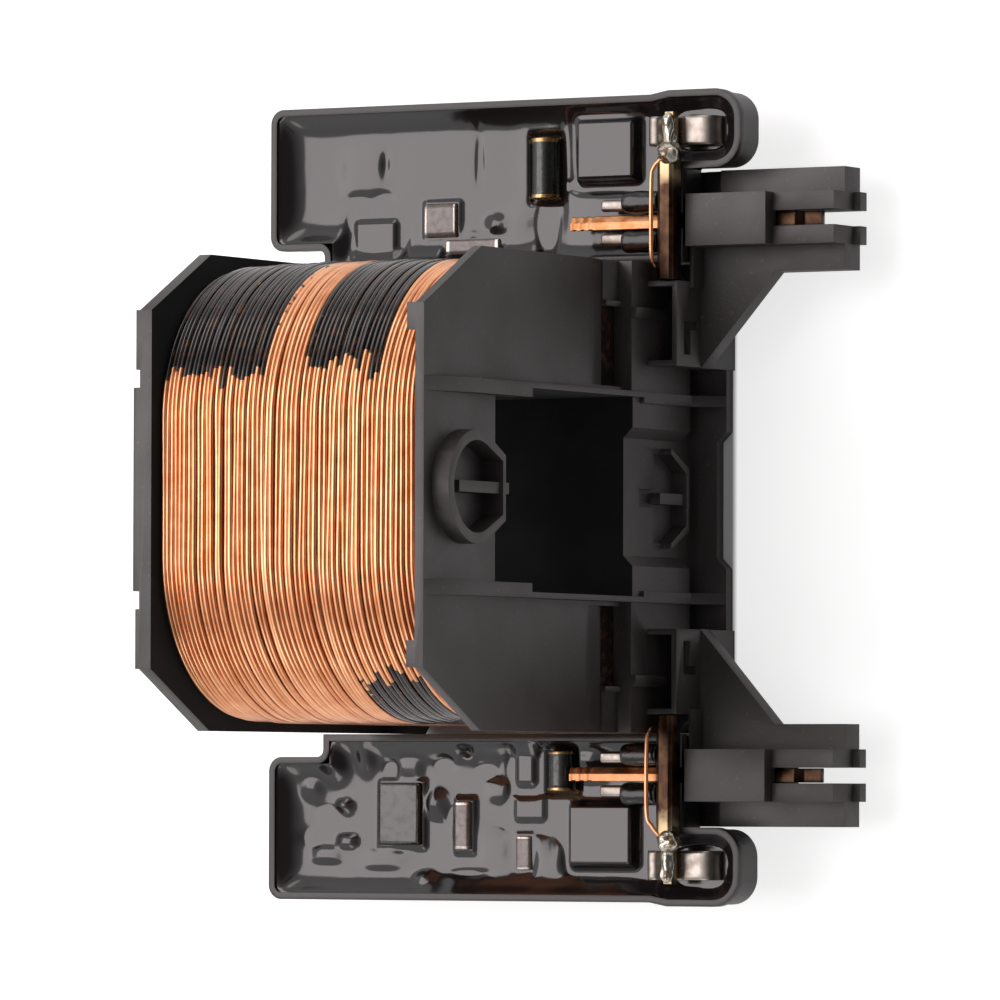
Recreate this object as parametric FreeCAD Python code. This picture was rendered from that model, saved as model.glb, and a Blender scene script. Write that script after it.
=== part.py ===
import FreeCAD, Part
import math
import os
from FreeCAD import Vector

# Coil of a contactor: a moulded former with its winding, two potted electronics trays
# beside it and two plug arms. All sizes are in millimetres.
# While building, x runs along the coil axis from the outer face of the front flange,
# y runs across the trays, and z stands up from the edge that the coil lies on.

# Former, flanges and core tube
flange_height = 43.8
flange_half_width = 18.9
flange_chamfer_y = 4.8
flange_chamfer_z = 8.8
flange_far_chamfer = 1.2
front_flange_wall = 0.8
back_flange_wall = 1.1
winding_width = 24.0
window_half_width = 8.0
window_low = 12.3
window_high = 32.8
tube_wall = 0.8

# Former, bar along the upper edge of the back flange
edge_bar_depth = 1.2
edge_bar_step = 0.35
edge_bar_rise = 0.35
edge_bar_notch = 1.4
edge_bar_round = 0.3

# Former, relief of the front flange
near_plate_edge = 15.1
near_plate_roll = 3.4
near_plate_roll_depth = 0.5
far_plate_low = 2.8
far_plate_high = 12.5
far_plate_rise = 0.85
lead_slot_end = 15.2
lead_floor_sink = 0.35
tab_width = 2.1
tab_reach = 1.55
tab_thickness = 0.9

# Former, guide ribs beside the window
rib_outer = 8.45
rib_thick = 1.15
rib_far_thick = 0.9
rib_height = 1.2
rib_ramp = 5.6
rib_step_near = 29.0
rib_step_far = 11.0
rib_end_ramp = 2.1

# Former, keyed bosses above and below the window
boss_centre = 38.1
boss_radius = 4.45
boss_bore = 3.6
boss_height = 1.5
boss_floor = 0.4
boss_flat_drop = 4.4
boss_flat_half = 2.1
boss_corner_drop = 1.4
boss_flat_wall = 0.45
key_half = 0.45
key_sink = 0.3
key_overrun = 1.0
key_top = 2.3
far_boss_high = 7.3
far_boss_drop = 3.9
far_boss_corner = 2.56
far_boss_rim = 0.9
far_key_pocket = 2.4
far_pocket_half = 0.7

# Former, far wall
far_wall = 1.1
far_wall_reach = 3.3
channel_half = 4.7

# Former, terminal housings
housing_inner = 10.55
housing_inset = 1.5
housing_reach = 3.5
housing_wall = 0.45
housing_top = 9.8
housing_slot_side = 0.95
housing_slot_length = 2.7
housing_slot_width = 1.1
housing_slot_head = 0.7
housing_slot_margin = 1.2
cross_rib = 0.45
cross_rib_width = 0.9
cross_rib_reach = 1.3
cross_rib_low = 7.5

# Former, plug arms
arm_share = 0.246
arm_half_width = 4.12
arm_reach = 16.6
arm_top = 5.8
arm_plate = 2.6
arm_root_width = 1.9
arm_root_step = 1.8
arm_root_sink = 1.0
link_wall = 0.3
ledge_reach = 1.6
prong_rise = 1.9
prong_half_width = 2.1
prong_tip = 0.6
prong_tip_layer = 1.1
block_rise = 1.3
block_start = 3.8
block_end = 11.1
arm_slot = 1.25
gusset_foot = 10.5
gusset_reach = 10.3
gusset_plate = 1.6
blade_channel_roof = 0.5

# Winding
winding_inset = 0.5
winding_corner = 13.0
winding_ridges = 10
ridge_height = 0.2
winding_crown = 0.4
winding_fit = 0.03

# Electronics trays
tray_left = -35.3
tray_right = 8.7
tray_outer = 32.5
tray_swell = 0.3
tray_swell_start = 0.5
tray_swell_run = 1.6
tray_end_share = 0.137
tray_end_step = 5.2
tray_step_corner = 0.6
tray_rim = 8.8
tray_depth = 4.2
tray_wall = 0.55
tray_floor = 0.7
tray_corner = 1.2
tray_end_corner_share = 0.394
tray_lip = 0.15
tray_lip_height = 0.9
tray_back_chamfer = 0.8
tray_fit = 0.05

# Boards and resin
board_thickness = 0.8
board_gap = 0.25
resin_sink = 1.5

# Posts, contact blades and spring strips
post_start = 1.75
post_width = 1.6
post_thickness = 1.6
post_foot_inset = 1.4
post_end_share = 0.624
post_left_bevel = 0.5
post_right_bevel = 0.25
tip_start = 2.3
tip_width = 0.8
tip_thickness = 0.9
tip_end_share = 0.889
post_lift = 0.05
blade_width = 1.15
blade_thickness = 0.4
blade_end = 15.1
blade_high = 7.0
blade_dip = 0.6
blade_dip_start = 12.7
blade_dip_run = 0.6
blade_dip_length = 1.6
blade_notch_gap = 0.05
strip_width = 2.35
strip_thickness = 0.35
strip_share = 0.779
strip_right = 6.2
strip_left = 0.5
strip_bend = 1.1
strip_curl = 0.7
solder_radius = 1.1
solder_sink = 0.35
solder_bead_half = 0.65
solder_bead_rise = 0.25

# Pins, prongs, boots and leads
pin_width = 1.15
pin_thickness = 0.6
pin_start = -6.4
pin_share = 0.24
pin_level = 9.1
prong_pitch = 1.36
prong_width = 0.95
prong_start = -3.65
boot_start = -1.6
boot_end = 1.7
boot_width = 1.9
boot_thickness = 1.5
boot_bevel = 0.4
lead_diameter = 0.35
lead_sides = 8
lead_fan = 0.5
lead_inset = 0.4
lead_turn = 0.8

# Parts on the boards: first and last place along x, share of the tray's width that the
# centre lies at, then width and height
upper_parts = {
    "upper_power_diode": (-6.4, -1.6, 0.686, 4.3, 2.2),
    "upper_chip_capacitor": (-21.2, -18.2, 0.299, 2.8, 1.8),
    "upper_control_chip": (-27.6, -24.4, 0.203, 2.2, 1.4),
    "upper_filter_capacitor": (-19.3, -14.2, 0.137, 1.2, 1.6),
}
lower_parts = {
    "lower_power_diode": (-7.0, -1.7, 0.601, 4.4, 2.2),
    "lower_film_capacitor": (-25.3, -21.4, 0.480, 5.1, 2.0),
    "lower_tall_resistor": (-18.1, -16.7, 0.550, 4.0, 2.0),
    "lower_chip_resistor": (-12.4, -10.3, 0.443, 1.3, 1.3),
    "lower_chip_capacitor": (-12.2, -11.2, 0.185, 2.5, 1.4),
    "lower_fuse": (-12.6, -11.2, 0.712, 2.8, 1.5),
}
part_edge = 0.2
diode_radius = 1.25
diode_cap = 0.55
upper_diode = (-10.0, 0.590, 5.1)
lower_diode = (-8.3, 0.221, 3.3)

# Places worked out from the sizes above
front_inner = -front_flange_wall
back_inner = front_inner - winding_width
back_outer = back_inner - back_flange_wall
tray_inner = flange_half_width + tray_fit
tray_span = tray_outer - tray_inner
tray_end_inner = tray_inner + tray_end_share * tray_span
arm_centre = tray_inner + arm_share * tray_span
arm_outer = arm_centre + arm_half_width
housing_outer = flange_half_width - housing_inset
post_foot = flange_half_width - post_foot_inset
post_end = tray_inner + post_end_share * tray_span
tip_end = tray_inner + tip_end_share * tray_span
strip_centre = tray_inner + strip_share * tray_span
pin_middle = tray_inner + pin_share * tray_span
tray_back = tray_rim - tray_depth
board_low = tray_back + tray_floor
board_top = board_low + board_thickness
resin_top = tray_rim - resin_sink
prong_top = arm_top + prong_rise
post_low = tray_rim + post_lift
post_high = post_low + post_thickness
post_side = post_start + post_width
root_step = housing_reach + arm_root_step
tip_reach = arm_reach + prong_tip
origin_x = (tray_left + tip_reach) / 2


def box(x0, x1, y0, y1, z0, z1):
    return Part.makeBox(x1 - x0, y1 - y0, z1 - z0, Vector(x0, y0, z0))


def polygon_face(points):
    return Part.Face(Part.makePolygon(points + points[:1]))


def across(outline, x0, x1):
    """A plate across the axis, an outline in y and z carried from x0 to x1."""
    face = polygon_face([Vector(x0, y, z) for y, z in outline])
    return face.extrude(Vector(x1 - x0, 0, 0))


def flat(outline, z0, z1):
    """A flat plate, an outline in x and y carried from z0 to z1."""
    face = polygon_face([Vector(x, y, z0) for x, y in outline])
    return face.extrude(Vector(0, 0, z1 - z0))


def along_y(outline, y0, y1):
    """A profile in x and z carried from y0 to y1."""
    face = polygon_face([Vector(x, y0, z) for x, z in outline])
    return face.extrude(Vector(0, y1 - y0, 0))


def other_side(shape):
    return shape.mirror(Vector(0, 0, 0), Vector(0, 1, 0))


def both_sides(shape):
    return [shape, other_side(shape)]


def save(name, shape):
    """Write one piece, moved so that the origin is at the bottom centre of the coil."""
    placed = shape.copy()
    placed.translate(Vector(-origin_x, 0, 0))
    placed.exportStep("parts/" + name + ".step")


def flange_outline():
    w = flange_half_width
    half = [
        (w - flange_far_chamfer, 0),
        (w, flange_far_chamfer),
        (w, flange_height - flange_chamfer_z),
        (w - flange_chamfer_y, flange_height),
    ]
    return half + [(-y, z) for y, z in reversed(half)]


def back_flange():
    """A flat plate with a bar along its upper edge, notched and thicker in the middle."""
    plate = across(flange_outline(), back_outer, back_inner)
    end = flange_half_width - flange_chamfer_y
    low = flange_height - edge_bar_depth
    side_x = back_outer - edge_bar_step
    middle_x = side_x - edge_bar_rise
    notch = window_half_width + edge_bar_notch
    bar = box(middle_x, back_outer, -window_half_width, window_half_width, low, flange_height)
    long_edges = [e for e in bar.Edges if e.BoundBox.XMax < back_outer and e.BoundBox.YLength > 1]
    bars = [bar.makeFillet(edge_bar_round, long_edges)]
    bars += both_sides(box(side_x, back_outer, notch, end, low, flange_height))
    return plate.fuse(bars)


def rolled_edge():
    """Taken off the plate, so that its face turns away from the axis on an arc."""
    run = near_plate_roll
    sink = near_plate_roll_depth
    radius = (run * run + sink * sink) / (2 * sink)
    half = math.asin(run / radius) / 2
    top = near_plate_edge + run
    y = -flange_half_width - 1
    start = Vector(0, y, top)
    middle = Vector(-radius * (1 - math.cos(half)), y, top - radius * math.sin(half))
    end = Vector(-sink, y, near_plate_edge)
    out_low = Vector(1, y, near_plate_edge)
    out_high = Vector(1, y, top)
    edges = [
        Part.Arc(start, middle, end).toShape(),
        Part.makeLine(end, out_low),
        Part.makeLine(out_low, out_high),
        Part.makeLine(out_high, start),
    ]
    face = Part.Face(Part.Wire(edges))
    return face.extrude(Vector(0, -2 * y, 0))


def front_flange():
    """Plate with the lead slots, their sunk floors, the rolled edge and two end tabs."""
    w = flange_half_width
    plate = across(flange_outline(), front_inner, 0).cut(rolled_edge())
    tube_side = window_half_width + tube_wall
    slot = box(front_inner, 0, tube_side, lead_slot_end, far_plate_high, near_plate_edge)
    floor = box(-lead_floor_sink, 0, lead_slot_end + cross_rib, w, far_plate_high, near_plate_edge)
    tab_end = w - flange_chamfer_y
    tab = box(-tab_reach, front_inner, tab_end - tab_width, tab_end,
              flange_height - tab_thickness, flange_height)
    plate = plate.cut(both_sides(slot) + both_sides(floor))
    return plate.fuse(both_sides(tab))


def far_plate():
    """Raised lower part of the front flange, with a channel across its middle."""
    w = flange_half_width
    rise = far_plate_rise
    side = [(0, channel_half), (rise, channel_half + rise), (rise, w), (0, w)]
    return both_sides(flat(side, far_plate_low, far_plate_high))


def far_wall_plate():
    """Wall that the coil lies on, set back in the middle."""
    w = flange_half_width - flange_far_chamfer
    back = far_wall_reach - far_plate_rise
    slope = channel_half + far_plate_rise
    outline = [
        (front_inner, -w), (far_wall_reach, -w), (far_wall_reach, -slope), (back, -channel_half),
        (back, channel_half), (far_wall_reach, slope), (far_wall_reach, w), (front_inner, w),
    ]
    return flat(outline, 0, far_wall)


def guide_ribs():
    """Ribs beside the window, thick at both ends and thin along the window."""
    profile = [
        (front_inner, flange_height), (0, flange_height),
        (rib_height, flange_height - rib_ramp), (rib_height, far_wall + rib_end_ramp),
        (far_wall_reach, far_wall), (far_wall_reach, 0), (front_inner, 0),
    ]
    rib = along_y(profile, rib_outer - rib_thick, rib_outer)
    far_inner = rib_outer - rib_far_thick
    rib = rib.cut(box(front_inner, far_wall_reach, 0, window_half_width,
                      rib_step_far, rib_step_near))
    rib = rib.cut(box(front_inner, far_wall_reach, 0, far_inner, 0, rib_step_far))
    return both_sides(rib)


def boss_outline(radius, half, flat_half, corner_drop, flat_drop):
    """Half round above, keyed with two slanted corners below."""
    x = front_inner + boss_floor
    low = boss_centre - flat_drop
    corner = boss_centre - corner_drop
    top = Vector(x, 0, boss_centre + radius)
    left = Vector(x, half, corner)
    right = Vector(x, -half, corner)
    foot_left = Vector(x, flat_half, low)
    foot_right = Vector(x, -flat_half, low)
    edges = [
        Part.Arc(left, top, right).toShape(),
        Part.makeLine(right, foot_right),
        Part.makeLine(foot_right, foot_left),
        Part.makeLine(foot_left, left),
    ]
    return Part.Face(Part.Wire(edges))


def near_boss():
    """Collar above the window. Gives the collar, its bore and the key bar."""
    depth = boss_height - front_inner - boss_floor
    wall = boss_flat_wall
    outer_half = math.sqrt(boss_radius ** 2 - boss_corner_drop ** 2)
    bore_half = math.sqrt(boss_bore ** 2 - boss_corner_drop ** 2)
    outer = boss_outline(boss_radius, outer_half, boss_flat_half + wall,
                         boss_corner_drop, boss_flat_drop)
    bore = boss_outline(boss_bore, bore_half, boss_flat_half,
                        boss_corner_drop, boss_flat_drop - wall)
    low = boss_centre - boss_flat_drop
    key = box(front_inner + boss_floor, boss_height - key_sink, -key_half, key_half,
              low - key_overrun, boss_centre + key_top)
    along = Vector(depth, 0, 0)
    return outer.extrude(along), bore.extrude(along), key


def far_boss():
    """Pocket below the window. Gives its rim, its hollow and the key bar."""
    x = front_inner + boss_floor
    wall = boss_flat_wall
    low = far_boss_high - far_boss_drop
    corner = low + far_boss_corner
    inner = [
        (-boss_bore, far_boss_high), (-boss_bore, corner), (-boss_flat_half, low),
        (boss_flat_half, low), (boss_bore, corner), (boss_bore, far_boss_high),
    ]
    outer = [
        (-boss_bore - wall, corner), (-boss_flat_half - wall, low - wall),
        (boss_flat_half + wall, low - wall), (boss_bore + wall, corner),
    ]
    rim = across(outer, x, far_boss_rim)
    hollow = across(inner, x, far_boss_rim)
    key = box(x, far_boss_rim - key_sink, -key_half, key_half, low - key_overrun, far_boss_high)
    pocket = box(x, 0, -far_pocket_half, far_pocket_half,
                 far_boss_high, far_boss_high + far_key_pocket)
    return rim, hollow, key, pocket


def housing():
    """Solid foot and a thin box above it that the post and the leads go into."""
    foot = box(0, housing_reach, housing_inner, flange_half_width, 0, arm_top)
    front = box(housing_reach - housing_wall, housing_reach, housing_inner, housing_outer,
                arm_top, housing_top)
    ends = [
        box(0, housing_reach, housing_inner, housing_inner + housing_wall, arm_top, housing_top),
        box(0, housing_reach, housing_outer - housing_wall, housing_outer, arm_top, housing_top),
    ]
    slot_y = housing_inner + housing_slot_side
    slot_end = slot_y + housing_slot_length
    slot_top = housing_top - housing_slot_margin
    slot_low = slot_top - housing_slot_width
    head_y = slot_end - housing_slot_head
    back = housing_reach - housing_wall
    slots = [
        box(back, housing_reach, slot_y, slot_end, slot_low, slot_top),
        box(back, housing_reach, head_y, slot_end, slot_low - housing_slot_width, slot_top),
    ]
    return foot.fuse([front] + ends).cut(slots)


def cross_ribs():
    """Bar that ends the lead slot, and a short rib beside it over the raised plate."""
    end = lead_slot_end + cross_rib
    bridge = box(front_inner, 0, lead_slot_end, end, far_plate_high, near_plate_edge)
    ridge = box(0, cross_rib_reach, lead_slot_end - cross_rib_width, lead_slot_end,
                cross_rib_low, far_plate_high)
    return both_sides(bridge) + both_sides(ridge)


def plug_arm():
    """Arm with a gusset, a raised block and two prongs beside the contact slot."""
    low = arm_top - arm_plate
    inner = arm_centre - arm_half_width
    plate = box(housing_reach, arm_reach, inner, arm_outer, low, arm_top)
    sunk = box(housing_reach, root_step, arm_outer - arm_root_width, arm_outer,
               arm_top - arm_root_sink, arm_top)
    gusset = flat([
        (housing_reach, gusset_foot), (gusset_reach, inner), (housing_reach, inner),
    ], arm_top - gusset_plate, arm_top)
    prong_inner = arm_centre - prong_half_width
    link = box(housing_reach, block_start, housing_outer - housing_wall, prong_inner + link_wall,
               arm_top, prong_top)
    ledge = box(housing_reach - ledge_reach, housing_reach, housing_outer, arm_outer,
                low, tray_back - tray_fit)
    prong_outer = arm_centre + prong_half_width
    prongs = box(block_start, arm_reach, prong_inner, prong_outer, arm_top, prong_top)
    block = box(block_start, block_end, prong_inner, prong_outer, prong_top,
                prong_top + block_rise)
    tips = box(arm_reach, tip_reach, prong_inner, prong_outer, low, low + prong_tip_layer)
    slot = box(block_end, tip_reach, arm_centre - arm_slot / 2, arm_centre + arm_slot / 2,
               low, prong_top)
    channel = box(block_start, block_end, arm_centre - arm_slot / 2, arm_centre + arm_slot / 2,
                  arm_top, prong_top - blade_channel_roof)
    return plate.cut(sunk).fuse([gusset, link, ledge, prongs, block, tips]).cut([slot, channel])


def coil_former():
    """The one moulding that carries everything else."""
    tube_half = window_half_width + tube_wall
    tube = box(back_outer, 0, -tube_half, tube_half,
               window_low - tube_wall, window_high + tube_wall)
    window = box(back_outer, rib_height, -window_half_width, window_half_width,
                 window_low, window_high)
    collar, bore, key = near_boss()
    rim, hollow, far_key, pocket = far_boss()
    body = tube.fuse([back_flange(), front_flange(), collar, rim] + far_plate())
    body = body.cut([window, bore, hollow, pocket])
    extra = [far_wall_plate(), key, far_key] + guide_ribs() + cross_ribs()
    extra += both_sides(housing()) + both_sides(plug_arm())
    return body.fuse(extra).removeSplitter()


def winding_ring(x, sink):
    """Rounded outline of the winding at x, sunk below its full size."""
    half = flange_half_width - winding_inset - sink
    low = winding_inset + sink
    high = flange_height - winding_inset - sink
    corner = winding_corner - sink
    face = polygon_face([
        Vector(x, -half, low), Vector(x, half, low), Vector(x, half, high), Vector(x, -half, high),
    ])
    prism = face.extrude(Vector(1, 0, 0))
    edges = [e for e in prism.Edges if e.BoundBox.XLength > 0.5]
    rounded = prism.makeFillet(corner, edges)
    ends = [f for f in rounded.Faces if f.BoundBox.XMax < x + 0.1]
    return ends[0].OuterWire


def copper_winding():
    """Turns wound side by side, drawn as ridges that sink a little towards the flanges."""
    start = back_inner + winding_fit
    pitch = (winding_width - 2 * winding_fit) / winding_ridges
    rings = []
    for i in range(2 * winding_ridges + 1):
        place = i / winding_ridges - 1
        sink = winding_crown * place ** 4 + (ridge_height if i % 2 == 0 else 0)
        rings.append(winding_ring(start + i * pitch / 2, sink))
    body = Part.makeLoft(rings, True, True)
    tube_half = window_half_width + tube_wall + winding_fit
    core = box(back_inner - 1, 1, -tube_half, tube_half,
               window_low - tube_wall - winding_fit, window_high + tube_wall + winding_fit)
    return body.cut(core)


def tray_outline():
    swell = tray_outer + tray_swell
    back = housing_reach - tray_fit
    arm_side = arm_outer + tray_fit
    step = tray_left + tray_end_step
    return [
        (tray_left, tray_end_inner), (step, tray_end_inner), (step, tray_inner),
        (back, tray_inner), (back, arm_side), (tray_right, arm_side),
        (tray_right, swell), (tray_swell_start + tray_swell_run, swell),
        (tray_swell_start, tray_outer), (tray_left, tray_outer),
    ]


def upright_edges(solid, x_min, x_max, y_min, y_max):
    found = []
    for edge in solid.Edges:
        b = edge.BoundBox
        inside = x_min < b.XMin and b.XMax < x_max and y_min < b.YMin and b.YMax < y_max
        if inside and b.XLength < 0.01 and b.YLength < 0.01:
            found.append(edge)
    return found


def tray_block(low, high):
    """The tray's outer form between two levels, with its corners rounded."""
    solid = flat(tray_outline(), low, high)
    left = upright_edges(solid, tray_left - 1, tray_left + 1, 0, tray_outer + 1)
    solid = solid.makeFillet(tray_corner, left)
    step = tray_left + tray_end_step
    bend = upright_edges(solid, step - 0.5, step + 0.5, tray_end_inner - 0.5, tray_end_inner + 0.5)
    solid = solid.makeFillet(tray_step_corner, bend)
    right = upright_edges(solid, tray_right - 1, tray_right + 1, 0, tray_outer + 1)
    return solid.makeFillet(tray_end_corner_share * (tray_outer - arm_outer), right)


def inset(distance, low, high):
    """The tray's form drawn in all round by a distance, between two levels."""
    block = tray_block(low, high)
    bottoms = [f for f in block.Faces if f.BoundBox.ZMax < low + 0.01]
    face = bottoms[0].makeOffset2D(-distance)
    solid = face.extrude(Vector(0, 0, high - low))
    return solid


def tray():
    """Open tray with a lip round its rim and slanted lower edges."""
    lip = tray_block(tray_rim - tray_lip_height, tray_rim)
    body = inset(tray_lip, tray_back, tray_rim - tray_lip_height)
    bottom = [e for e in body.Edges if e.BoundBox.ZMax < tray_back + 0.01]
    body = body.makeChamfer(tray_back_chamfer, bottom)
    hollow = inset(tray_wall, board_low, tray_rim)
    side = blade_width / 2 + blade_notch_gap
    notch = box(post_side - blade_thickness - tray_wall, housing_reach,
                arm_centre - side, arm_centre + side,
                blade_high - blade_thickness - tray_fit, tray_rim)
    return body.fuse(lip).cut([hollow, notch]).removeSplitter()


def board():
    return inset(tray_wall + board_gap, board_low, board_top)


def chip(place):
    """A small part with its upper edges bevelled, standing on the board."""
    x0, x1, share, width, height = place
    y0 = tray_inner + share * tray_span - width / 2
    solid = box(x0, x1, y0, y0 + width, board_top, board_top + height)
    top = [e for e in solid.Edges if e.BoundBox.ZMin > board_top + height - 0.01]
    return solid.makeChamfer(part_edge, top)


def glass_diode(place):
    """Round diode lying on the board, with a collar at each end."""
    x, share, length = place
    y0 = tray_inner + share * tray_span - length / 2
    z = board_top + diode_radius
    along = Vector(0, 1, 0)
    body = Part.makeCylinder(diode_radius - part_edge / 2, length, Vector(x, y0, z), along)
    ends = (y0, y0 + length - diode_cap)
    return body.fuse([Part.makeCylinder(diode_radius, diode_cap, Vector(x, y, z), along)
                      for y in ends])


def contact():
    """Post across the tray, its narrow tip over the strip, and the blade in the arm's slot."""
    a = post_left_bevel
    b = post_right_bevel
    post = along_y([
        (post_start, post_low), (post_start, post_high - a), (post_start + a, post_high),
        (post_side - b, post_high), (post_side, post_high - b), (post_side, post_low),
    ], post_foot, post_end)
    tip = box(tip_start, tip_start + tip_width, post_end, tip_end,
              post_low, post_low + tip_thickness)
    rise = post_low - blade_high + blade_thickness
    y0 = arm_centre - blade_width / 2
    leg = box(post_side - blade_thickness, post_side, y0, y0 + blade_width,
              blade_high - blade_thickness, post_low)
    x0 = post_side - blade_thickness
    x1 = blade_dip_start
    x2 = x1 + blade_dip_run
    x3 = x2 + blade_dip_length
    low = blade_high - blade_dip
    t = blade_thickness
    path = [
        (x0, blade_high), (x1, blade_high), (x2, low), (x3, low), (blade_end, blade_high),
        (blade_end, blade_high - t), (x3, low - t), (x2, low - t), (x1, blade_high - t),
        (x0, blade_high - t),
    ]
    return post.fuse([tip, leg, along_y(path, y0, y0 + blade_width)]).removeSplitter()


def bent_strip(points, radii, thickness, y0, width):
    """A sheet strip that follows straight runs with round bends, flat across y."""
    edges = []
    last = Vector(*points[0])
    for i in range(1, len(points) - 1):
        corner = Vector(*points[i])
        before = (corner - Vector(*points[i - 1])).normalize()
        after = (Vector(*points[i + 1]) - corner).normalize()
        turn = before.getAngle(after)
        cut = radii[i - 1] * math.tan(turn / 2)
        start = corner - before * cut
        end = corner + after * cut
        inward = (after - before).normalize()
        depth = radii[i - 1] * (1 / math.cos(turn / 2) - 1)
        edges.append(Part.makeLine(last, start))
        edges.append(Part.Arc(start, corner + inward * depth, end).toShape())
        last = end
    edges.append(Part.makeLine(last, Vector(*points[-1])))
    wire = Part.Wire(edges)
    side = (Vector(*points[1]) - Vector(*points[0])).normalize().cross(Vector(0, 1, 0))
    a = Vector(*points[0]) - side * (thickness / 2)
    b = Vector(*points[0]) + side * (thickness / 2)
    across_y = Vector(0, width, 0)
    section = Part.makePolygon([a, b, b + across_y, a + across_y, a])
    return wire.makePipeShell([section], True, False)


def spring_strip():
    """Tinned strip that rises from the board, passes under the post and curls up."""
    z = post_low - strip_thickness / 2
    y0 = strip_centre - strip_width / 2
    points = [
        (strip_right, y0, board_top), (strip_right, y0, z), (strip_left, y0, z),
        (strip_left, y0, z + 2 * strip_curl),
    ]
    return bent_strip(points, [strip_bend, strip_curl], strip_thickness, y0, strip_width)


def solder_joint():
    """Lump of solder over the end of the post, and a narrower one along its tip."""
    x = tip_start + tip_width / 2
    lump = Part.makeSphere(solder_radius, Vector(x, post_end + solder_sink, post_high - solder_sink))
    bead = box(x - solder_bead_half, x + solder_bead_half, post_end, tip_end - solder_sink,
               post_low, post_low + tip_thickness + solder_bead_rise)
    return lump.fuse(bead)


def pin():
    y0 = pin_middle - pin_width / 2
    return box(pin_start, post_start, y0, y0 + pin_width, pin_level, pin_level + pin_thickness)


def prong(offset):
    y0 = pin_middle + offset - prong_width / 2
    return box(prong_start, post_start, y0, y0 + prong_width,
               pin_level, pin_level + pin_thickness)


def boot(offset):
    """Black sleeve over a prong, with bevelled edges."""
    if offset > 0:
        y0 = pin_middle + pin_width / 2 + tray_fit
    else:
        y0 = pin_middle - pin_width / 2 - tray_fit - boot_width
    z0 = pin_level + pin_thickness / 2 - boot_thickness / 2
    solid = box(boot_start, boot_end, y0, y0 + boot_width, z0, z0 + boot_thickness)
    solid = solid.makeChamfer(boot_bevel, solid.Edges)
    return solid.cut(prong(offset))


def lead_wire():
    """Winding lead that rises beside the tray, turns over its rim and runs to the solder."""
    r = lead_diameter / 2
    x = post_start - lead_fan
    y = flange_half_width - lead_inset
    z = post_high + r
    solder_y = post_end + solder_sink - solder_radius
    route = Part.makePolygon([
        Vector(x, y, arm_top), Vector(x, y, z - lead_turn), Vector(x, y + lead_turn, z),
        Vector(x, solder_y - lead_turn, z), Vector(post_start + r, solder_y + r, z),
    ])
    corners = [2 * math.pi * i / lead_sides for i in range(lead_sides + 1)]
    section = Part.makePolygon([Vector(x + r * math.cos(a), y + r * math.sin(a), arm_top)
                                for a in corners])
    return route.makePipeShell([section], True, False, 1)


def side_pieces(side, parts, diode):
    """Every piece that stands on one tray, named for its side."""
    hollow = inset(tray_wall, board_low, resin_top)
    pieces = {side + "_tray": tray(), side + "_circuit_board": board()}
    for name, place in parts.items():
        pieces[name] = chip(place)
    pieces[side + "_glass_diode"] = glass_diode(diode)
    pieces[side + "_spring_strip"] = spring_strip()
    buried = [shape for name, shape in pieces.items() if name != side + "_tray"]
    pieces[side + "_potting_resin"] = hollow.cut(buried)
    pieces[side + "_contact"] = contact()
    pieces[side + "_solder_joint"] = solder_joint().cut([contact(), spring_strip(), lead_wire()])
    pieces[side + "_centre_pin"] = pin()
    for name, offset in (("inner", -prong_pitch), ("outer", prong_pitch)):
        pieces[side + "_" + name + "_prong"] = prong(offset)
        pieces[side + "_" + name + "_boot"] = boot(offset)
    pieces[side + "_lead_wire"] = lead_wire()
    return pieces


def build():
    os.makedirs("parts", exist_ok=True)
    save("coil_former", coil_former())
    save("copper_winding", copper_winding())
    for name, shape in side_pieces("upper", upper_parts, upper_diode).items():
        save(name, shape)
    for name, shape in side_pieces("lower", lower_parts, lower_diode).items():
        save(name, other_side(shape))


build()
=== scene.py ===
"""Looks of a contactor coil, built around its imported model.

The winding, the resin in the trays, the solder, the strips, the boots and the leads are
surfaces worked out here, and the moulded and stamped pieces are softened copies of the
packed ones. Lengths are in metres, and MM turns a size in millimetres into metres.
"""

import math

import bmesh
import bpy
import numpy as np
from bpy.props import FloatProperty, FloatVectorProperty, IntProperty, PointerProperty
from mathutils import Matrix, Vector


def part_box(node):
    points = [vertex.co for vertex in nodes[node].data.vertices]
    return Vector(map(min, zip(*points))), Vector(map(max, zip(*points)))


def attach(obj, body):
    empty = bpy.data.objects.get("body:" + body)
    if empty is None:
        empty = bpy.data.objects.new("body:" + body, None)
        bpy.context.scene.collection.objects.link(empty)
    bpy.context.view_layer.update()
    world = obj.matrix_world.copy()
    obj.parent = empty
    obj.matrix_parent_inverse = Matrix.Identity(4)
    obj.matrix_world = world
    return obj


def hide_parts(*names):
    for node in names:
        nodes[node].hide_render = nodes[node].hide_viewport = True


bl_info = {
    "name": "Contactor coil",
    "version": (1, 0, 0),
    "blender": (4, 5, 0),
    "location": "View3D > Sidebar > Coil",
    "description": "Winding, potted trays, terminals and finishes of a contactor coil",
    "category": "Object",
}

MM = 0.001
SIDES = {"upper": 1, "lower": -1}

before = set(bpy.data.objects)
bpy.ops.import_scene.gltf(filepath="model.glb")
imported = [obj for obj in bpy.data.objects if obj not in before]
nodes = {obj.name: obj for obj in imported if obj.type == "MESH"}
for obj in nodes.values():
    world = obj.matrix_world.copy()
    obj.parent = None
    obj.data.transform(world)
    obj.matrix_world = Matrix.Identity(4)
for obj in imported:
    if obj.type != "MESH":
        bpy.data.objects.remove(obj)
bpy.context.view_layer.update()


def node_box(node):
    """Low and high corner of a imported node."""
    return [np.array(corner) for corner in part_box(node)]


# Colours and shader nodes

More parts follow.
